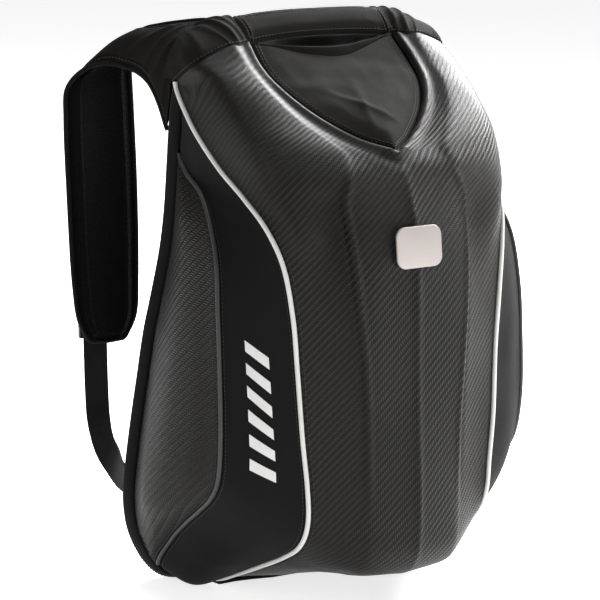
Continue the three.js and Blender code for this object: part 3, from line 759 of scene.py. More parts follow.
def cord_look(name, colour, rough, pitch=0.0012):
    """A smooth covered cord with the faint slanting threads of its cover."""
    look = Look(name, colour, rough, **{"Specular IOR Level": 0.5})
    across, along, _ = look.weave()
    thread = ((across + along) / pitch).arch()
    cloud = look.cloud(40.0, 3.0)
    tint = thread * 0.3 + cloud * 0.7
    return look.paint(tint, 0.78, 1.12, rough - 0.08 + cloud * 0.16, thread, 0.00012, 0.5)


def webbing_look(name, colour):
    """Woven tape with lengthwise cords and a fine cross weave."""
    look = Look(name, colour, 0.8, **{"Sheen Weight": 0.02, "Specular IOR Level": 0.18})
    across, along, _ = look.weave()
    cords = (across / 0.0016).arch()
    cross = ((along + across * 0.5) / 0.0011).arch()
    cloud = look.cloud(30.0, 3.0)
    tint = cords * 0.4 + cross * 0.3 + cloud * 0.3
    return look.paint(tint, 0.45, 1.7, 0.7 + cloud * 0.2, cords * 0.7 + cross * 0.4, 0.0003, 0.7)


def moulded_look(name, colour):
    """Moulded plastic with a fine spark-eroded grain."""
    look = Look(name, colour, 0.45, **{"Specular IOR Level": 0.5})
    grain = look.cloud(900.0, 2.0)
    cloud = look.cloud(30.0, 2.0)
    return look.paint(cloud, 0.8, 1.3, 0.38 + grain * 0.16, grain, 0.00008, 0.5)


def metal_look(name, colour):
    """Satin metal with a soft brushed grain that runs across."""
    look = Look(name, colour, 0.5, 0.75)
    brushed = look.cloud(260.0, 3.0, 0.6, (0.08, 1, 1))
    cloud = look.cloud(25.0, 2.0)
    tint = brushed * 0.5 + cloud * 0.5
    rough = 0.44 + brushed * 0.14 + cloud * 0.05
    return look.paint(tint, 0.9, 1.1, rough, brushed, 0.00004, 0.3)


def print_look(name, colour):
    """A reflective print of tiny beads, slightly worn."""
    look = Look(name, colour, 0.5, **{"Specular IOR Level": 0.6})
    beads = look.cloud(1500.0, 2.0)
    cloud = look.cloud(45.0, 4.0, 0.65)
    tint = beads * 0.25 + cloud * 0.75
    return look.paint(tint, 0.78, 1.1, 0.42 + beads * 0.15, beads, 0.00006, 0.5)


def thread_look(name, colour):
    """Twisted sewing thread."""
    look = Look(name, colour, 0.6, **{"Sheen Weight": 0.2})
    cloud = look.cloud(700.0, 1.0)
    return look.paint(cloud, 0.6, 1.5, 0.5 + cloud * 0.2, cloud, 0.0001, 0.5)


def floor_look(name, colour):
    """The studio's floor, which shines a little so that it stays pale."""
    look = Look(name, colour, 0.6, **{"Emission Color": (1, 1, 1, 1), "Emission Strength": 0.74})
    cloud = look.cloud(2.0, 2.0)
    return look.paint(cloud, 0.99, 1.01, 0.55 + cloud * 0.1)


LOOKS = {}


def looks():
    """All materials of the bag, made once from the panel's colours and sizes."""
    if not LOOKS:
        sizes, chosen = bpy.context.scene.bag_sizes, bpy.context.scene.bag_colours
        colour = {name: tuple(getattr(chosen, name)) for name in BagColours.__annotations__}
        black, thread, cell = colour["black_cloth"], sizes.thread, sizes.mesh_cell
        LOOKS.update(
            carbon=carbon_look("carbon film", colour["shell"], sizes.tow),
            top=cloth_look("top cloth", colour["top_cloth"], thread, 0.84, 0.01),
            black=cloth_look("black cloth", black, thread, 0.75, 0.01, 0.25, 0.0001),
            band=cloth_look("band cloth", black, thread * 1.4, 0.8, 0.02, 0.3, 0.0002, 1.6),
            mesh=mesh_look("air mesh", colour["mesh"], cell),
            pad=mesh_look("strap mesh", colour["mesh"], cell * 0.8),
            webbing=webbing_look("webbing tape", black),
            piping=cord_look("pale piping", colour["piping"], 0.5),
            dark_piping=cord_look("dark piping", colour["dark_piping"], 0.5),
            plastic=moulded_look("moulded plastic", black),
            metal=metal_look("satin metal", colour["badge"]),
            printed=print_look("reflective print", colour["bars"]),
            thread=thread_look("sewing thread", colour["thread"]),
        )
    return LOOKS


# Stitches
def stitch_tree():
    """Geometry Nodes: a row of short round stitches along a run of edges."""
    found = bpy.data.node_groups.get("stitch row")
    if found:
        return found
    tree = bpy.data.node_groups.new("stitch row", "GeometryNodeTree")
    tree.interface.new_socket("Geometry", in_out="INPUT", socket_type="NodeSocketGeometry")
    for label, value in (("Spacing", 0.004), ("Length", 0.0028), ("Radius", 0.0003)):
        socket = tree.interface.new_socket(label, in_out="INPUT", socket_type="NodeSocketFloat")
        socket.default_value = value
    tree.interface.new_socket("Material", in_out="INPUT", socket_type="NodeSocketMaterial")
    tree.interface.new_socket("Geometry", in_out="OUTPUT", socket_type="NodeSocketGeometry")

    def add(kind, inputs=(), **settings):
        node = tree.nodes.new(kind)
        for key, value in settings.items():
            setattr(node, key, value)
        for key, value in inputs:
            node.inputs[key].default_value = value
        return node

    given, made = add("NodeGroupInput"), add("NodeGroupOutput")
    curve = add("GeometryNodeMeshToCurve")
    resample = add("GeometryNodeResampleCurve", mode="LENGTH")
    tangent = add("GeometryNodeInputTangent")
    turn = add("FunctionNodeAlignRotationToVector", axis="Z")
    points = add("GeometryNodeInstanceOnPoints")
    capsule = add("GeometryNodeMeshUVSphere", (("Segments", 6), ("Rings", 4), ("Radius", 1)))
    stretch = add("ShaderNodeCombineXYZ")
    half = add("ShaderNodeMath", ((1, 0.5),), operation="MULTIPLY")
    shape = add("GeometryNodeTransform")
    solid = add("GeometryNodeRealizeInstances")
    soft = add("GeometryNodeSetShadeSmooth")
    finish = add("GeometryNodeSetMaterial")
    for source, output, target, into in (
        (given, "Geometry", curve, "Mesh"), (curve, "Curve", resample, "Curve"),
        (given, "Spacing", resample, "Length"), (resample, "Curve", points, "Points"),
        (tangent, "Tangent", turn, "Vector"), (turn, "Rotation", points, "Rotation"),
        (given, "Length", half, 0), (given, "Radius", stretch, "X"), (given, "Radius", stretch, "Y"),
        (half, "Value", stretch, "Z"), (capsule, "Mesh", shape, "Geometry"),
        (stretch, "Vector", shape, "Scale"), (shape, "Geometry", points, "Instance"),
        (points, "Instances", solid, "Geometry"), (solid, "Geometry", soft, "Geometry"),
        (soft, "Geometry", finish, "Geometry"), (given, "Material", finish, "Material"),
        (finish, "Geometry", made, "Geometry"),
    ):
        tree.links.new(source.outputs[output], target.inputs[into])
    return tree


def stitched(name, runs, both_sides=True):
    """Rows of stitches along runs of places, as one plain mesh."""
    sizes = bpy.context.scene.bag_sizes
    if both_sides:
        runs = [*runs, *[np.asarray(run) * (-1, 1, 1) for run in runs]]
    places, edges = [], []
    for run in runs:
        first = len(places)
        places += [tuple(p) for p in run]
        edges += [(first + i, first + i + 1) for i in range(len(run) - 1)]
    mesh = bpy.data.meshes.new(name)
    mesh.from_pydata(places, edges, [])
    obj = linked(name, mesh)
    rows = obj.modifiers.new("rows", "NODES")
    rows.node_group = stitch_tree()
    spacing = sizes.stitch_spacing
    values = {"Spacing": spacing, "Length": spacing * STITCH_SHARE, "Radius": sizes.thread_radius,
              "Material": looks()["thread"]}
    for item in rows.node_group.interface.items_tree:
        if item.in_out == "INPUT" and item.name in values:
            rows[item.identifier] = values[item.name]
    settled(obj)
    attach(obj, "root")
    return obj


def run_on(grid, inside, column_share=None, row_share=None, low=0.0, high=1.0):
    """A run of places on a grid, a little above it, along a column or a row."""
    raised = moved(grid, STITCH_LIFT, inside)
    share = row_share
    if column_share is not None:
        raised, share = raised.swapaxes(0, 1), column_share
    reach = share * (len(raised) - 1)
    k = min(int(reach), len(raised) - 2)
    line = raised[k] * (1 - reach + k) + raised[k + 1] * (reach - k)
    first, last = int(low * (len(line) - 1)), int(math.ceil(high * (len(line) - 1)))
    return line[first:last + 1]


def beside(grid, inside, distance, from_end=False):
    """A run of places a set distance in from a grid's first or last column, a little above it."""
    raised = moved(grid, STITCH_LIFT, inside)
    if from_end:
        raised = raised[:, ::-1]
    found = []
    for row in raised:
        along = lengths(row)
        if along[-1] > 2.2 * distance:
            found.append([np.interp(distance, along, row[:, k]) for k in range(3)])
    return np.array(found)


def along_sides(grid, inside, first, last):
    """Runs of places in from both long sides of a grid, by their own distances."""
    return [beside(grid, inside, first), beside(grid, inside, last, True)]


# Pieces
def edge_distance(grid):
    """Metres from each place to the insert's edge, on either side."""
    edge = np.array([insert_edge_at(row) for row in np.linspace(0, EDGE_LAST, 160)])
    flat = grid.reshape(-1, 3).copy()
    flat[:, 0] = abs(flat[:, 0])
    away = np.full(len(flat), 1.0)
    batch = 4000
    for i in range(0, len(flat), batch):
        part = flat[i:i + batch, None] - edge[None]
        away[i:i + batch] = np.sqrt((part ** 2).sum(-1)).min(1)
    return away.reshape(grid.shape[:-1])


def shell_grids():
    """The right half of the shell: the body below the insert's tip, and the wing beside the insert."""
    grids = []
    for start, end, count in ((1, TIP_ROW, 112), (TIP_ROW, LAST_ROW, 56)):
        rows = np.linspace(start, end, count)
        grid = patch(shell_line, rows, 84, 0, 0.0008)
        normal = outward_normals(grid, INSIDE)
        normal[:, 0, 0] = np.where(abs(grid[:, 0, 0]) < 1e-6, 0, normal[:, 0, 0])
        away = edge_distance(grid)
        lip = relief(away, LIP) + relief(away, LIP_ROOT)
        groove = relief(away, LIP_GROOVE)
        ridge = np.array([ridge_at(row) for row in rows])[:, None]
        from_ridge = np.linalg.norm(grid - ridge, axis=2)
        beyond = grid[..., 0] > ridge[..., 0]
        crease = relief(from_ridge, RIDGE_CREST) + relief(from_ridge, RIDGE_FOOT) * beyond
        crease = crease * (smooth(7.0, 9.0, rows) * (1 - smooth(14.2, 15.4, rows)))[:, None]
        keel_fade = (1 - smooth(0.3, 0.42, grid[..., 2])) * smooth(0.03, 0.09, grid[..., 2])
        keel = relief(grid[..., 0], KEEL) * keel_fade
        edge = np.linalg.norm(grid - grid[:, -1:], axis=2)
        tuck = relief(edge, SHELL_SEAM)
        grids.append(grid + normal * (lip + groove + crease + keel + tuck)[..., None])
    return grids


def make_shell(sizes):
    """The shell's film, whose weave rises with the height along a middle column."""
    places, faces, weave = [], [], []
    body, wing = shell_grids()
    column_index = 45
    middle = np.concatenate([body[:, column_index], wing[1:, column_index]])
    climb = lengths(middle)
    for grid, hem in ((body, 0), (tucked(wing, 0.007, 0.003, (True, False)), 3)):
        across, along = lay_out(grid)
        across = across - across[:, hem:hem + 1] + abs(grid[:, hem:hem + 1, 0])
        rise = np.interp(grid[..., 2], middle[:, 2], climb)
        if hem:
            rise = rise[:1] + along
        for side in SIDES.values():
            first = sum(len(p) for p in places)
            places.append((grid * (side, 1, 1)).reshape(-1, 3))
            calm = 0.62 * smooth(0.395, 0.45, grid[..., 2])
            weave.append(np.stack([across * side, rise, calm], -1).reshape(-1, 3))
            faces.append(faces_of(*grid.shape[:2], first)[:, ::side])
    shell = new_mesh("shell_skin", np.concatenate(places), np.concatenate(faces), np.concatenate(weave))
    merged(shell, 3e-5)
    facing_out(shell, INSIDE)
    formed(shell, "SOLIDIFY", 40, thickness=sizes.shell_wall, offset=-1, use_even_offset=True,
           thickness_clamp=1)
    dress(shell, looks()["carbon"], "carbon_shell", "shell")
    stitched("shell_seam_stitches", [beside(grid, INSIDE, 0.0052, True) for grid in (body, wing)])


# The insert's creases: where each starts and ends, its width and its height
INSERT_CREASES = [
    ((-0.055, -0.06, 0.47), (0.02, -0.11, 0.43), 0.004, 0.0016),
    ((-0.03, -0.055, 0.475), (0.045, -0.09, 0.45), 0.0035, 0.0013),
    ((0.06, -0.04, 0.485), (0.03, -0.1, 0.44), 0.0035, 0.0016),
    ((-0.062, -0.045, 0.482), (-0.02, -0.105, 0.436), 0.003, 0.0012),
    ((0.0, -0.05, 0.478), (-0.012, -0.12, 0.425), 0.0045, 0.0012),
    ((0.068, -0.055, 0.474), (0.05, -0.08, 0.455), 0.003, 0.0014),
]


def make_insert(sizes):
    grid = patch(insert_line, np.linspace(0.06, 4.97, 76), 72, SEAM_GAP, SEAM_GAP)
    away = edge_distance(grid)
    shape = relief(away, INSERT_SEAM) + 0.0012 * smooth(0.004, 0.02, away)
    soft = smooth(0.002, 0.018, away)
    for start, end, width, height in INSERT_CREASES:
        shape = shape + height * fold(grid, start, end, width) * soft
    shape = shape + rumple(grid, *INSERT_RUMPLE) * soft
    grid = moved(grid, shape)
    hemmed = tucked(grid, 0.012, 0.0022)
    insert = pad("insert_cloth", hemmed, sizes.cloth_wall, INSIDE)
    dress(insert, looks()["top"], "top_cloth", "top_insert")
    flat, area = cut_size(hemmed)
    stitched("insert_stitches", along_sides(grid, INSIDE, 0.0045, 0.0045)
             + along_sides(grid, INSIDE, 0.0075, 0.0075), False)


def make_hollow(sizes):
    middle = Line([place(0, front, up) for front, up, _, _ in HOLLOW])
    ends = Line([place(HOLLOW_HALF, front, up) for _, _, front, up in HOLLOW])

    def line(share):
        end = ends.at(share)[0]
        return Line([end * (-1, 1, 1), middle.at(share)[0], end])

    grid = patch(line, np.linspace(0, 1, 60), 56)
    end_out = 0.073
    fade = smooth(0, 0.01, grid[..., 0] + end_out) * smooth(0, 0.01, end_out - grid[..., 0])
    grid = moved(grid, rumple(grid, *HOLLOW_RUMPLE) * fade)
    hollow = pad("hollow_cloth", grid, sizes.cloth_wall, INSIDE)
    dress(hollow, looks()["top"], "top_cloth", "top_panel")
    flat, area = cut_size(grid)
    stitched("lip_stitches", [run_on(grid, INSIDE, row_share=0.3, low=0.06, high=0.94)], False)


def handle_grid():
    def edge(column_index):
        half = [(row[0], row[column_index], row[column_index + 1]) for row in HANDLE]
        full = [(-out, front, up) for out, front, up in half[:0:-1]] + half
        return guide(full)

    low, mid, top = edge(1), edge(3), edge(5)
    return patch(lambda row: Line([low(row), mid(row), top(row)]), np.linspace(0, 6, 90), 30)


def make_handle(sizes):
    """The padded handle: a swollen grip, its lower edge rolled over, its ends creased."""
    grid = handle_grid()
    rows, columns = grid.shape[:2]
    across = np.linspace(0, 1, columns)[None]
    along = np.linspace(0, 1, rows)[:, None]
    inset, ends = np.minimum(across, 1 - across), np.minimum(along, 1 - along)
    bulge = 0.0018 * smooth(0, 0.3, inset) - 0.0022 * (1 - smooth(0, 0.07, inset))
    roll = 0.0036 * (1 - smooth(0, 0.22, across)) * smooth(0, 0.08, ends)
    seam = relief(across, HANDLE_SEAM) * smooth(0.04, 0.1, ends)
    end_seam = relief(ends, HANDLE_END_SEAM)
    creases = rumple(grid, *HANDLE_END_RUMPLE) * (1 - smooth(0.02, 0.3, ends))
    creases = creases + rumple(grid, *HANDLE_RUMPLE)
    grid = moved(grid, bulge + seam + end_seam + creases)
    grid[..., 2] -= roll
    depth = sizes.handle_wall * (0.3 + 0.7 * smooth(0, 0.18, inset)) * np.ones((rows, 1))
    hemmed = tucked(np.swapaxes(grid, 0, 1), 0.006, 0.002).swapaxes(0, 1)
    depth = np.concatenate([depth[:3], depth, depth[-3:]])
    handle = pad("handle_cloth", hemmed, depth, INSIDE)
    dress(handle, looks()["top"], "top_cloth", "grab_handle")
    runs = [run_on(grid, INSIDE, column_share=share, low=start, high=1 - start)
            for share, start in ((0.70, 0.05), (0.78, 0.05), (0.08, 0.03))]
    runs += [run_on(grid, INSIDE, row_share=share, low=0.03, high=0.97)
             for share in (0.018, 0.055, 0.945, 0.982)]
    stitched("handle_stitches", runs, False)


# The yoke's folds: share of its rows, slope across, width and height
YOKE_FOLDS = [
    (0.14, 0.16, 0.04, 0.0014), (0.3, 0.24, 0.05, 0.002), (0.5, 0.12, 0.04, 0.0014),
    (0.66, -0.08, 0.035, 0.0012), (0.78, -0.16, 0.045, 0.002),
]


def make_yokes(sizes):
    """The folded cloth beside the handle."""
    grid = patch(yoke_line, np.linspace(0, 4, 72), 48, SEAM_GAP, 0)
    rows, columns = grid.shape[:2]
    along = np.linspace(0, 1, rows)[:, None] * np.ones((1, columns))
    across = np.linspace(0, 1, columns)[None] * np.ones((rows, 1))
    soft = smooth(0, 0.12, across) * smooth(0, 0.06, along) * (1 - smooth(0.93, 1, along))
    shape = relief(across, YOKE_SEAM)
    for row_share, slope, width, height in YOKE_FOLDS:
        line = row_share + slope * (across - 0.4)
        shape = shape + height * bump_at(along, line, width) * soft
    grid = moved(grid, shape + rumple(grid, *YOKE_RUMPLE) * soft)
    yoke = pad("yoke_cloth_right", grid, sizes.cloth_wall, INSIDE)
    flat, area = cut_size(grid)
    for obj, side in both(yoke):
        dress(obj, looks()["top"], "top_cloth", f"yoke_{side}")
    stitched("yoke_stitches", [beside(grid, INSIDE, 0.004), run_on(grid, INSIDE, row_share=0.03)])


def make_gussets(sizes):
    """The smooth side panels and the bars printed on the left one."""
    grid = patch(gusset_line, np.linspace(0.3, 17.9, 154), 40, SEAM_GAP, SEAM_GAP)
    edge = from_sides(grid)
    uneven = rumple(grid, *GUSSET_RUMPLE) * smooth(0.004, 0.02, edge)
    grid = moved(grid, relief(edge, GUSSET_SEAM) + uneven)
    gusset = pad("gusset_cloth_right", grid, sizes.cloth_wall, INSIDE)
    flat, area = cut_size(grid)
    for obj, side in both(gusset):
        dress(obj, looks()["black"], "black_cloth", f"gusset_{side}")
    stitched("gusset_stitches", along_sides(grid, INSIDE, 0.0046, 0.0046))
    make_bars()


def make_bars():
    """Plain reflective bars, one above the other on the left gusset."""
    lowest, pitch, tall, start, end = 0.140, 0.0205, 0.010, 0.36, 0.66
    lift, thick = 0.0006, 0.0005
    levels = np.linspace(4, 12, 120)
    heights = np.array([gusset_line(row).evenly([(start + end) / 2])[0][2] for row in levels])
    for i in range(6):
        up = lowest + i * pitch
        rows = np.interp(np.linspace(up - tall / 2, up + tall / 2, 9), heights, levels)
        grid = np.array([gusset_line(row).evenly(np.linspace(start, end, 16)) for row in rows])
        right = pad("bar_right", moved(grid, lift), thick, INSIDE)
        bar = mirrored(right, f"bar_print_{i + 1}")
        bpy.data.objects.remove(right)
        dress(bar, looks()["printed"], "reflective_print", f"gusset_bar_{i + 1}")


def make_pockets(sizes):
    """The moulded side pockets, fuller towards their lower ends."""
    rows = np.linspace(2.0, 15.0, 120)
    grid = patch(pocket_line, rows, 44, SEAM_GAP, 0.0)
    edge = from_sides(grid)
    swell = sizes.pocket_swell * smooth(0, 0.035, edge) * bump_at(rows, 6.2, 3.2)[:, None]
    grid = moved(grid, relief(edge, POCKET_SEAM) + swell)
    pocket = pad("pocket_skin_right", grid[:, ::-1], sizes.shell_wall, INSIDE)
    rise = 0.85
    for obj, side in both(pocket):
        for item, vertex in zip(obj.data.attributes["weave"].data, obj.data.vertices):
            item.vector = (-SIDES[side] * item.vector.x * sizes.pocket_lean, vertex.co.z * rise, 0)
        dress(obj, looks()["carbon"], "carbon_shell", f"pocket_{side}")
    stitched("pocket_stitches", along_sides(grid, INSIDE, 0.0044, 0.004))


def make_piping(sizes):
    wide, narrow = sizes.piping_radius, sizes.piping_radius * 0.95
    for name, line, rows, radius, slot in (
        ("piping", piping_at, np.linspace(0.29, 21, 260), wide, "pale_piping"),
        ("pocket_piping", seam_at, np.linspace(2.1, 14.9, 180), narrow, "dark_piping"),
    ):
        look = looks()["piping" if name == "piping" else "dark_piping"]
        for obj, side in both(tube(f"{name}_cord_right", [line(row) for row in rows], radius)):
            dress(obj, look, slot, f"{name}_{side}")


def rim_loop(count):
    half = RIM_HALF.evenly(np.linspace(0, 1, count // 2 + 1))
    return np.concatenate([half, half[-2:0:-1] * (-1, 1, 1)])


def ring_normals(loop):
    along = np.roll(loop, -1, 0) - np.roll(loop, 1, 0)
    return unit(np.stack([along[:, 2], np.zeros(len(loop)), -along[:, 0]], -1))


def make_band(sizes):
    """The formed band round the rim, its edge rolled over a stiffener, with a bound rear edge."""
    loop = rim_loop(300)
    out = ring_normals(loop)
    deep, taper = REAR_BAND_DEPTH, -REAR_BAND_TAPER
    section = Line([
        (taper - 0.0035, deep - SEAM_GAP, 0), (taper, deep, 0), (-0.0018, deep * 0.75, 0),
        (-0.0002, deep * 0.4, 0), (-0.0006, 0.0016, 0), (-0.003, 0.0004, 0), (-0.008, 0.0006, 0),
        (-0.0085, 0.004, 0), (-0.0084, 0.009, 0),
    ])
    profile = section.at(np.linspace(0, 1, 26))
    forward = np.array((0, -1, 0))
    places = loop[:, None] + out[:, None] * profile[None, :, :1] + forward * profile[None, :, 1:2]
    places[..., 1] += BASE_CENTRE
    along = lengths(np.concatenate([loop, loop[:1]]))[:-1]
    weave = np.stack(np.broadcast_arrays(lengths(profile)[None], along[:, None], 0.0), -1)
    faces = ring_faces(*places.shape[:2]).reshape(-1, 4)
    band = new_mesh("band_cloth", places.reshape(-1, 3), faces, weave.reshape(-1, 3))
    merged(band, 1e-6)
    dress(band, looks()["band"], "black_cloth", "rear_band")
    lines = []
    for offset, front in ((-0.0031, deep * 0.83), (0.0002, deep * 0.3)):
        line = loop + out * offset - np.array((0, 1, 0)) * front
        line[:, 1] += BASE_CENTRE
        lines.append(np.concatenate([line, line[:1]]))
    stitched("band_stitches", lines, False)


def cloned(node, name):
    """A merged copy of a CAD node, to be finished."""
    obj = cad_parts[node].copy()
    obj.data = obj.data.copy()
    obj.name = obj.data.name = name
    obj.parent = None
    for key in list(obj.keys()):
        if key.startswith("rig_"):
            del obj[key]
    obj.hide_render = obj.hide_viewport = False
    bpy.context.scene.collection.objects.link(obj)
    bpy.context.view_layer.update()
    return merged(obj, 1e-5, 30)


def puffed(obj, pressure, cap, voxel):
    """Lets a pad swell like stuffed cloth, and holds each point within a cap of where it was."""
    formed(obj, "REMESH", mode="VOXEL", voxel_size=voxel)
    rest = np.array([v.co for v in obj.data.vertices])
    cloth = obj.modifiers.new("cloth", "CLOTH")
    cloth.settings.quality = 5
    cloth.settings.use_pressure = True
    cloth.settings.uniform_pressure_force = pressure
    cloth.settings.effector_weights.gravity = 0
    first, last = 1, 20
    cloth.point_cache.frame_start, cloth.point_cache.frame_end = first, last
    for step in range(first, last + 1):
        bpy.context.scene.frame_set(step)
    settled(obj)
    bpy.context.scene.frame_set(first)
    shift = np.array([v.co for v in obj.data.vertices]) - rest
    length = np.linalg.norm(shift, axis=1, keepdims=True)
    shift = shift * np.minimum(1, cap / (length + 1e-9))
    for vertex, co in zip(obj.data.vertices, rest + shift):
        vertex.co = co
    obj.data.update()


def make_back(sizes):
    """The back panel: a stuffed pad under air mesh, pressed into channels by its quilting."""
    back = cloned("back_panel", "back_pad")
    puffed(back, pressure=3.0, cap=0.004, voxel=sizes.remesh)
    formed(back, "SUBSURF", levels=1, render_levels=1)
    outline = rim_loop(RIM_STEPS)[:, (0, 2)]
    front = BASE_CENTRE + 0.0015
    wide = 0.005
    channel_heights, slope, spine_width, border_in = (0.13, 0.215, 0.3, 0.385), 0.16, 0.013, 0.024
    top = max(v.co.z for v in back.data.vertices)
    for vertex in back.data.vertices:
        x, y, z = vertex.co
        out = abs(x)
        share = smooth(front, PANEL_BACK, y)
        spine = bump_at(out, 0.0, spine_width)
        cross = max(bump_at(z, level - slope * out, wide) for level in channel_heights)
        from_rim = float(np.sqrt(((outline - (x, z)) ** 2).sum(1)).min())
        border = bump_at(from_rim, border_in, wide)
        channel = max(spine, cross * smooth(0.008, 0.03, out), border)
        vertex.co.y = min(y, PANEL_BACK) - sizes.quilt_depth * share * channel
        crest = smooth(top - 0.045, top - 0.004, z) * (1 - smooth(0.075, 0.11, out))
        vertex.co.z = z + (sizes.pad_crest - top) * crest
    back.data.update()
    shade(back, 60)
    dress(back, looks()["mesh"], "back_mesh", "back_panel")


def make_base(sizes):
    """The flat base panel, with its weave laid out by its own length and width."""
    base = cloned("base_panel", "base_cloth")
    formed(base, "BEVEL", 30, width=0.0008, segments=2)
    layer = base.data.attributes.new("weave", "FLOAT_VECTOR", "POINT")
    for item, vertex in zip(layer.data, base.data.vertices):
        item.vector = (vertex.co.x, vertex.co.y, 0)
    dress(base, looks()["band"], "black_cloth", "base_panel")


def ribbon_line(*tables):
    """The line across a strap, through the same row of each of its tables."""
    lines = [guide(rows, behind) for rows in tables]
    return lambda row: Line([line(row) for line in lines])


# The folds at the strap's root: share of its rows, slope across, width and height
STRAP_FOLDS = [
    (0.035, 0.08, 0.014, 0.0014), (0.09, 0.14, 0.018, 0.0022), (0.16, 0.1, 0.013, 0.0013),
    (0.23, 0.16, 0.02, 0.002), (0.31, -0.05, 0.016, 0.001),
]


def make_straps(sizes):
    """The padded straps with bound edges, the webbing below them and its adjusters."""
    grid = patch(ribbon_line(STRAP_INNER, STRAP_MIDDLE, STRAP_OUTER), np.linspace(0, 11, 190), 36)
    rows, columns = grid.shape[:2]
    across = np.linspace(0, 1, columns)[None]
    along = np.linspace(0, 1, rows)[:, None]
    inset = np.minimum(across, 1 - across) * np.ones((rows, 1))
    lean = smooth(0.0, 0.5, (grid[..., 1] - BASE_CENTRE) / STRAP_REACH)
    full = sizes.pad_root * (1 - lean) + sizes.pad_wall * lean
    rounding = smooth(0, 0.16, inset) * smooth(-0.002, 0.03, 1 - along)
    crease = rumple(grid, *STRAP_RUMPLE) * (1 - lean * 0.8)
    for share, slope, width, height in STRAP_FOLDS:
        line = share + slope * (across - 0.5)
        crease = crease + height * bump_at(along + 0 * across, line, width) * smooth(0, 0.15, inset)
    quilt = relief(inset, STRAP_QUILT)
    normal = outward_normals(grid, UNDER_STRAP)
    sunk = full * 0.35 * (1 - rounding)
    shaped = grid - normal * sunk[..., None] + normal * (crease * rounding + quilt * lean)[..., None]
    thin = 0.0012
    depth = thin + (full - thin) * (0.25 + 0.75 * rounding) - sunk
    strap = pad("strap_pad_right", shaped, np.maximum(depth, 0.001), UNDER_STRAP)
    strap_faces = two_faced(strap)

    def rim(values):
        return np.concatenate([values[:, 0], values[-1, 1:-1], values[::-1, -1]])

    edge = rim(grid) - rim(normal) * 0.003
    for _ in range(6):
        edge[1:-1] = (edge[:-2] + 2 * edge[1:-1] + edge[2:]) / 4
    binding = tube("strap_binding_right", edge, 0.0021, 10)
    web = patch(ribbon_line(WEBBING_INNER, WEBBING_OUTER), np.linspace(0, 7, 110), 14)
    webbing = pad("webbing_tape_right", web, 0.0016, UNDER_STRAP)
    adjuster = cloned("adjuster_right", "adjuster_frame_right")
    formed(adjuster, "BEVEL", 35, width=0.0011, segments=3, limit_method="ANGLE")
    for piece, look, slot, node in (
        (strap, "pad", "back_mesh", "strap"), (binding, "band", "back_mesh", None),
        (webbing, "webbing", "webbing", "webbing"), (adjuster, "plastic", "black_plastic", "adjuster"),
    ):
        for obj, side in both(piece):
            dress(obj, looks()[look], slot, *([f"{node}_{side}"] if node else []))
            if node == "strap":
                obj.data.materials.append(looks()["top"])
                obj.data.polygons.foreach_set("material_index", strap_faces)
    stitched("strap_stitches", along_sides(shaped, UNDER_STRAP, 0.0062, 0.0062))


def make_badge(sizes):
    """The plain metal plate, its flat faces joined before its edges are rounded."""
    badge = cloned("badge", "badge_plate")
    bm = bmesh.new()
    bm.from_mesh(badge.data)
    bmesh.ops.dissolve_limit(bm, angle_limit=0.02, verts=bm.verts, edges=bm.edges)
    bm.to_mesh(badge.data)
    bm.free()
    formed(badge, "BEVEL", 30, width=0.0009, segments=4, limit_method="ANGLE")
    dress(badge, looks()["metal"], "badge_metal", "badge")


# Stage
CAMERA_PLACE = (-1.26299, -2.07370, 0.76976)
CAMERA_TARGET = (-0.01553, 0.00243, 0.25493)
CAMERA_LENS = 162.72
# The soft lights: name, place, target, size in metres and power in watts
SOFT_LIGHTS = [
    ("key", (1.9, -0.3, 2.0), (0.05, -0.05, 0.35), (1.0, 1.4), 95),
    ("back_right", (2.1, 1.1, 1.75), (0.1, -0.06, 0.43), (1.2, 1.2), 180),
    ("front_low", (0.95, -2.3, 0.32), (0, -0.17, 0.24), (0.5, 0.45), 9),
    ("left_fill", (-2.4, -0.9, 1.4), (0, -0.1, 0.25), (1.2, 1.6), 13),
    ("top", (-0.2, 0.6, 2.4), (0, 0, 0.4), (1.2, 0.8), 16),
]


def aim(obj, target):
    way = Vector(target) - obj.location
    obj.rotation_euler = way.to_track_quat("-Z", "Y").to_euler()


def softbox(name, location, target, size, power):
    light = bpy.data.lights.new(name, "AREA")
    light.shape = "RECTANGLE"
    light.size, light.size_y = size
    light.energy = power
    obj = linked(name, light)
    obj.location = location
    aim(obj, target)


def make_stage(sizes):
    """The floor, the even light, five soft lights and the camera, placed as in the photograph."""
    colours = bpy.context.scene.bag_colours
    far = 20
    corners = [(-far, -far, 0), (far, -far, 0), (far, far, 0), (-far, far, 0)]
    floor = new_mesh("floor", corners, [(0, 1, 2, 3)])
    floor.data.materials.append(floor_look("pale floor", tuple(colours.floor)))
    world = bpy.data.worlds.new("studio")
    world.use_nodes = True
    background = world.node_tree.nodes["Background"]
    background.inputs["Color"].default_value = (1, 1, 1, 1)
    background.inputs["Strength"].default_value = sizes.sky
    bpy.context.scene.world = world
    for row in SOFT_LIGHTS:
        softbox(*row)
    camera = linked("camera", bpy.data.cameras.new("camera"))
    camera.location = CAMERA_PLACE
    aim(camera, CAMERA_TARGET)
    camera.data.sensor_width = 36
    camera.data.lens = CAMERA_LENS
    bpy.context.scene.camera = camera
    bpy.context.scene.view_settings.view_transform = "Standard"


# Add-on
def colour_choice(name, description, value):
    return FloatVectorProperty(name=name, description=description, default=value, size=3, min=0, max=1,
                               subtype="COLOR")


def length_choice(name, description, value):
    return FloatProperty(name=name, description=description, default=value, min=0, precision=5,
                         subtype="DISTANCE", unit="LENGTH")


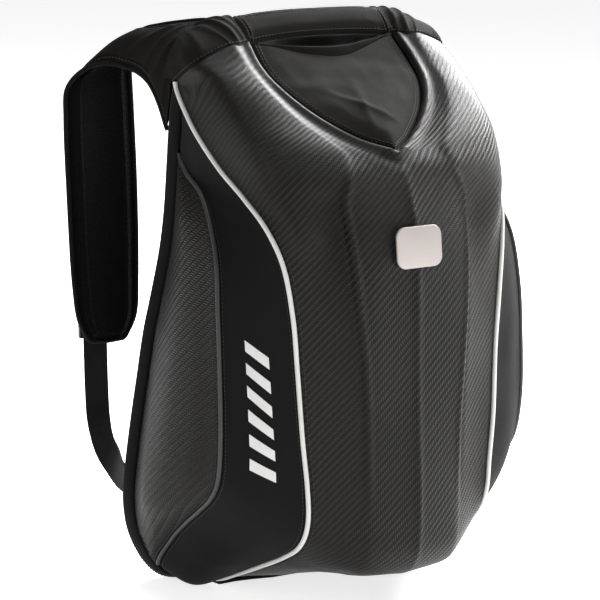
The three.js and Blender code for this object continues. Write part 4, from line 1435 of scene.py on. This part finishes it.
class BagSizes(bpy.types.PropertyGroup):
    """The sizes of the bag's dressing."""

    tow: length_choice("Tow width", "Width of one flat tow of the woven film", 0.00174)
    thread: length_choice("Thread", "Pitch of the cloth's threads", 0.00045)
    mesh_cell: length_choice("Mesh cell", "Pitch of the holes of the air mesh", 0.0032)
    shell_wall: length_choice("Shell wall", "Thickness of the moulded skin", 0.002)
    cloth_wall: length_choice("Cloth wall", "Thickness of the lined cloth", 0.002)
    handle_wall: length_choice("Handle wall", "Thickness of the padded handle", 0.004)
    pad_wall: length_choice("Pad wall", "Thickness of the strap pads", 0.009)
    pad_root: length_choice("Pad root", "Thickness of the straps where they are sewn in", 0.004)
    piping_radius: length_choice("Piping radius", "Radius of the piping", 0.0021)
    quilt_depth: length_choice("Quilt depth", "Depth of the channels in the back pad", 0.005)
    pocket_swell: length_choice("Pocket swell", "How far the pockets swell low down", 0.005)
    pocket_lean: FloatProperty(name="Pocket lean", description="Width of the pockets' ribs as a share",
                               default=0.72, min=0.1)
    pad_crest: length_choice("Pad crest", "Height of the back pad's top edge behind the handle", 0.4932)
    remesh: length_choice("Remesh", "Size of the back pad's faces before it swells", 0.005)
    stitch_spacing: length_choice("Stitch spacing", "Distance from one stitch to the next", 0.0036)
    thread_radius: length_choice("Thread radius", "Radius of the sewing thread", 0.00032)
    sky: FloatProperty(name="Sky", description="Strength of the studio's even light", default=0.17,
                       min=0)


class BagColours(bpy.types.PropertyGroup):
    """The colours of the bag."""

    shell: colour_choice("Shell", "Colour of the woven film", (0.0068, 0.0060, 0.0053))
    top_cloth: colour_choice("Top cloth", "Colour of the cloth at the top", (0.0062, 0.0056, 0.0048))
    black_cloth: colour_choice("Black cloth", "Colour of the gussets, band and webbing",
                               (0.005, 0.005, 0.005))
    mesh: colour_choice("Mesh", "Colour of the air mesh", (0.0025, 0.0025, 0.0027))
    piping: colour_choice("Piping", "Colour of the pale piping", (0.62, 0.62, 0.6))
    dark_piping: colour_choice("Dark piping", "Colour of the pockets' piping", (0.02, 0.0195, 0.019))
    badge: colour_choice("Badge", "Colour of the metal badge", (0.40, 0.365, 0.35))
    bars: colour_choice("Bars", "Colour of the reflective bars", (0.62, 0.61, 0.6))
    thread: colour_choice("Thread", "Colour of the sewing thread", (0.009, 0.009, 0.0085))
    floor: colour_choice("Floor", "Colour of the studio's floor", (0.9, 0.9, 0.9))


def made(context, *makers):
    """Makes an operator's pieces from the panel's sizes."""
    for make in makers:
        make(context.scene.bag_sizes)
    return {"FINISHED"}


class UndoStep:
    """What the bag's operators share."""

    bl_options = {"REGISTER", "UNDO"}


class BAG_OT_shell(UndoStep, bpy.types.Operator):
    """Makes the moulded shell with its woven film"""

    bl_idname = "bag.shell"
    bl_label = "Shell"

    def execute(self, context):
        return made(context, make_shell)


class BAG_OT_insert(UndoStep, bpy.types.Operator):
    """Makes the soft insert at the top of the shell"""

    bl_idname = "bag.insert"
    bl_label = "Top insert"

    def execute(self, context):
        return made(context, make_insert)


class BAG_OT_hollow(UndoStep, bpy.types.Operator):
    """Makes the cloth of the hollow under the handle"""

    bl_idname = "bag.hollow"
    bl_label = "Hollow"

    def execute(self, context):
        return made(context, make_hollow)


class BAG_OT_handle(UndoStep, bpy.types.Operator):
    """Makes the padded grab handle"""

    bl_idname = "bag.handle"
    bl_label = "Grab handle"

    def execute(self, context):
        return made(context, make_handle)


class BAG_OT_yokes(UndoStep, bpy.types.Operator):
    """Makes the folded cloth beside the handle"""

    bl_idname = "bag.yokes"
    bl_label = "Yokes"

    def execute(self, context):
        return made(context, make_yokes)


class BAG_OT_gussets(UndoStep, bpy.types.Operator):
    """Makes the side gussets and the reflective bars"""

    bl_idname = "bag.gussets"
    bl_label = "Gussets"

    def execute(self, context):
        return made(context, make_gussets)


class BAG_OT_pockets(UndoStep, bpy.types.Operator):
    """Makes the two side pocket panels"""

    bl_idname = "bag.pockets"
    bl_label = "Pockets"

    def execute(self, context):
        return made(context, make_pockets)


class BAG_OT_piping(UndoStep, bpy.types.Operator):
    """Makes the pale piping and the pockets' dark piping"""

    bl_idname = "bag.piping"
    bl_label = "Piping"

    def execute(self, context):
        return made(context, make_piping)


class BAG_OT_band(UndoStep, bpy.types.Operator):
    """Makes the formed band round the rim"""

    bl_idname = "bag.band"
    bl_label = "Rear band"

    def execute(self, context):
        return made(context, make_band)


class BAG_OT_back(UndoStep, bpy.types.Operator):
    """Makes the quilted back pad and the base"""

    bl_idname = "bag.back"
    bl_label = "Back and base"

    def execute(self, context):
        return made(context, make_back, make_base)


class BAG_OT_straps(UndoStep, bpy.types.Operator):
    """Makes the shoulder straps, webbing and adjusters"""

    bl_idname = "bag.straps"
    bl_label = "Straps"

    def execute(self, context):
        return made(context, make_straps)


class BAG_OT_badge(UndoStep, bpy.types.Operator):
    """Makes the plain metal badge"""

    bl_idname = "bag.badge"
    bl_label = "Badge"

    def execute(self, context):
        return made(context, make_badge)


class BAG_OT_stage(UndoStep, bpy.types.Operator):
    """Makes the floor, the lights and the camera"""

    bl_idname = "bag.stage"
    bl_label = "Stage"

    def execute(self, context):
        return made(context, make_stage)


OPERATORS = (
    BAG_OT_shell, BAG_OT_insert, BAG_OT_hollow, BAG_OT_handle, BAG_OT_yokes, BAG_OT_gussets,
    BAG_OT_pockets, BAG_OT_piping, BAG_OT_band, BAG_OT_back, BAG_OT_straps, BAG_OT_badge, BAG_OT_stage,
)


class BAG_PT_panel(bpy.types.Panel):
    """Lists the bag's sizes, colours and pieces"""

    bl_idname = "BAG_PT_panel"
    bl_label = "Backpack"
    bl_space_type = "VIEW_3D"
    bl_region_type = "UI"
    bl_category = "Backpack"

    def draw(self, context):
        for group in (context.scene.bag_sizes, context.scene.bag_colours):
            box = self.layout.box()
            for name in group.__annotations__:
                box.prop(group, name)
        for operator in OPERATORS:
            self.layout.operator(operator.bl_idname)


CLASSES = (BagSizes, BagColours, *OPERATORS, BAG_PT_panel)


def register():
    for item in CLASSES:
        bpy.utils.register_class(item)
    bpy.types.Scene.bag_sizes = PointerProperty(type=BagSizes)
    bpy.types.Scene.bag_colours = PointerProperty(type=BagColours)


def unregister():
    del bpy.types.Scene.bag_colours
    del bpy.types.Scene.bag_sizes
    for item in reversed(CLASSES):
        bpy.utils.unregister_class(item)


def main():
    register()
    for operator in OPERATORS:
        group, name = operator.bl_idname.split(".")
        getattr(getattr(bpy.ops, group), name)()


if __name__ == "__main__":
    main()
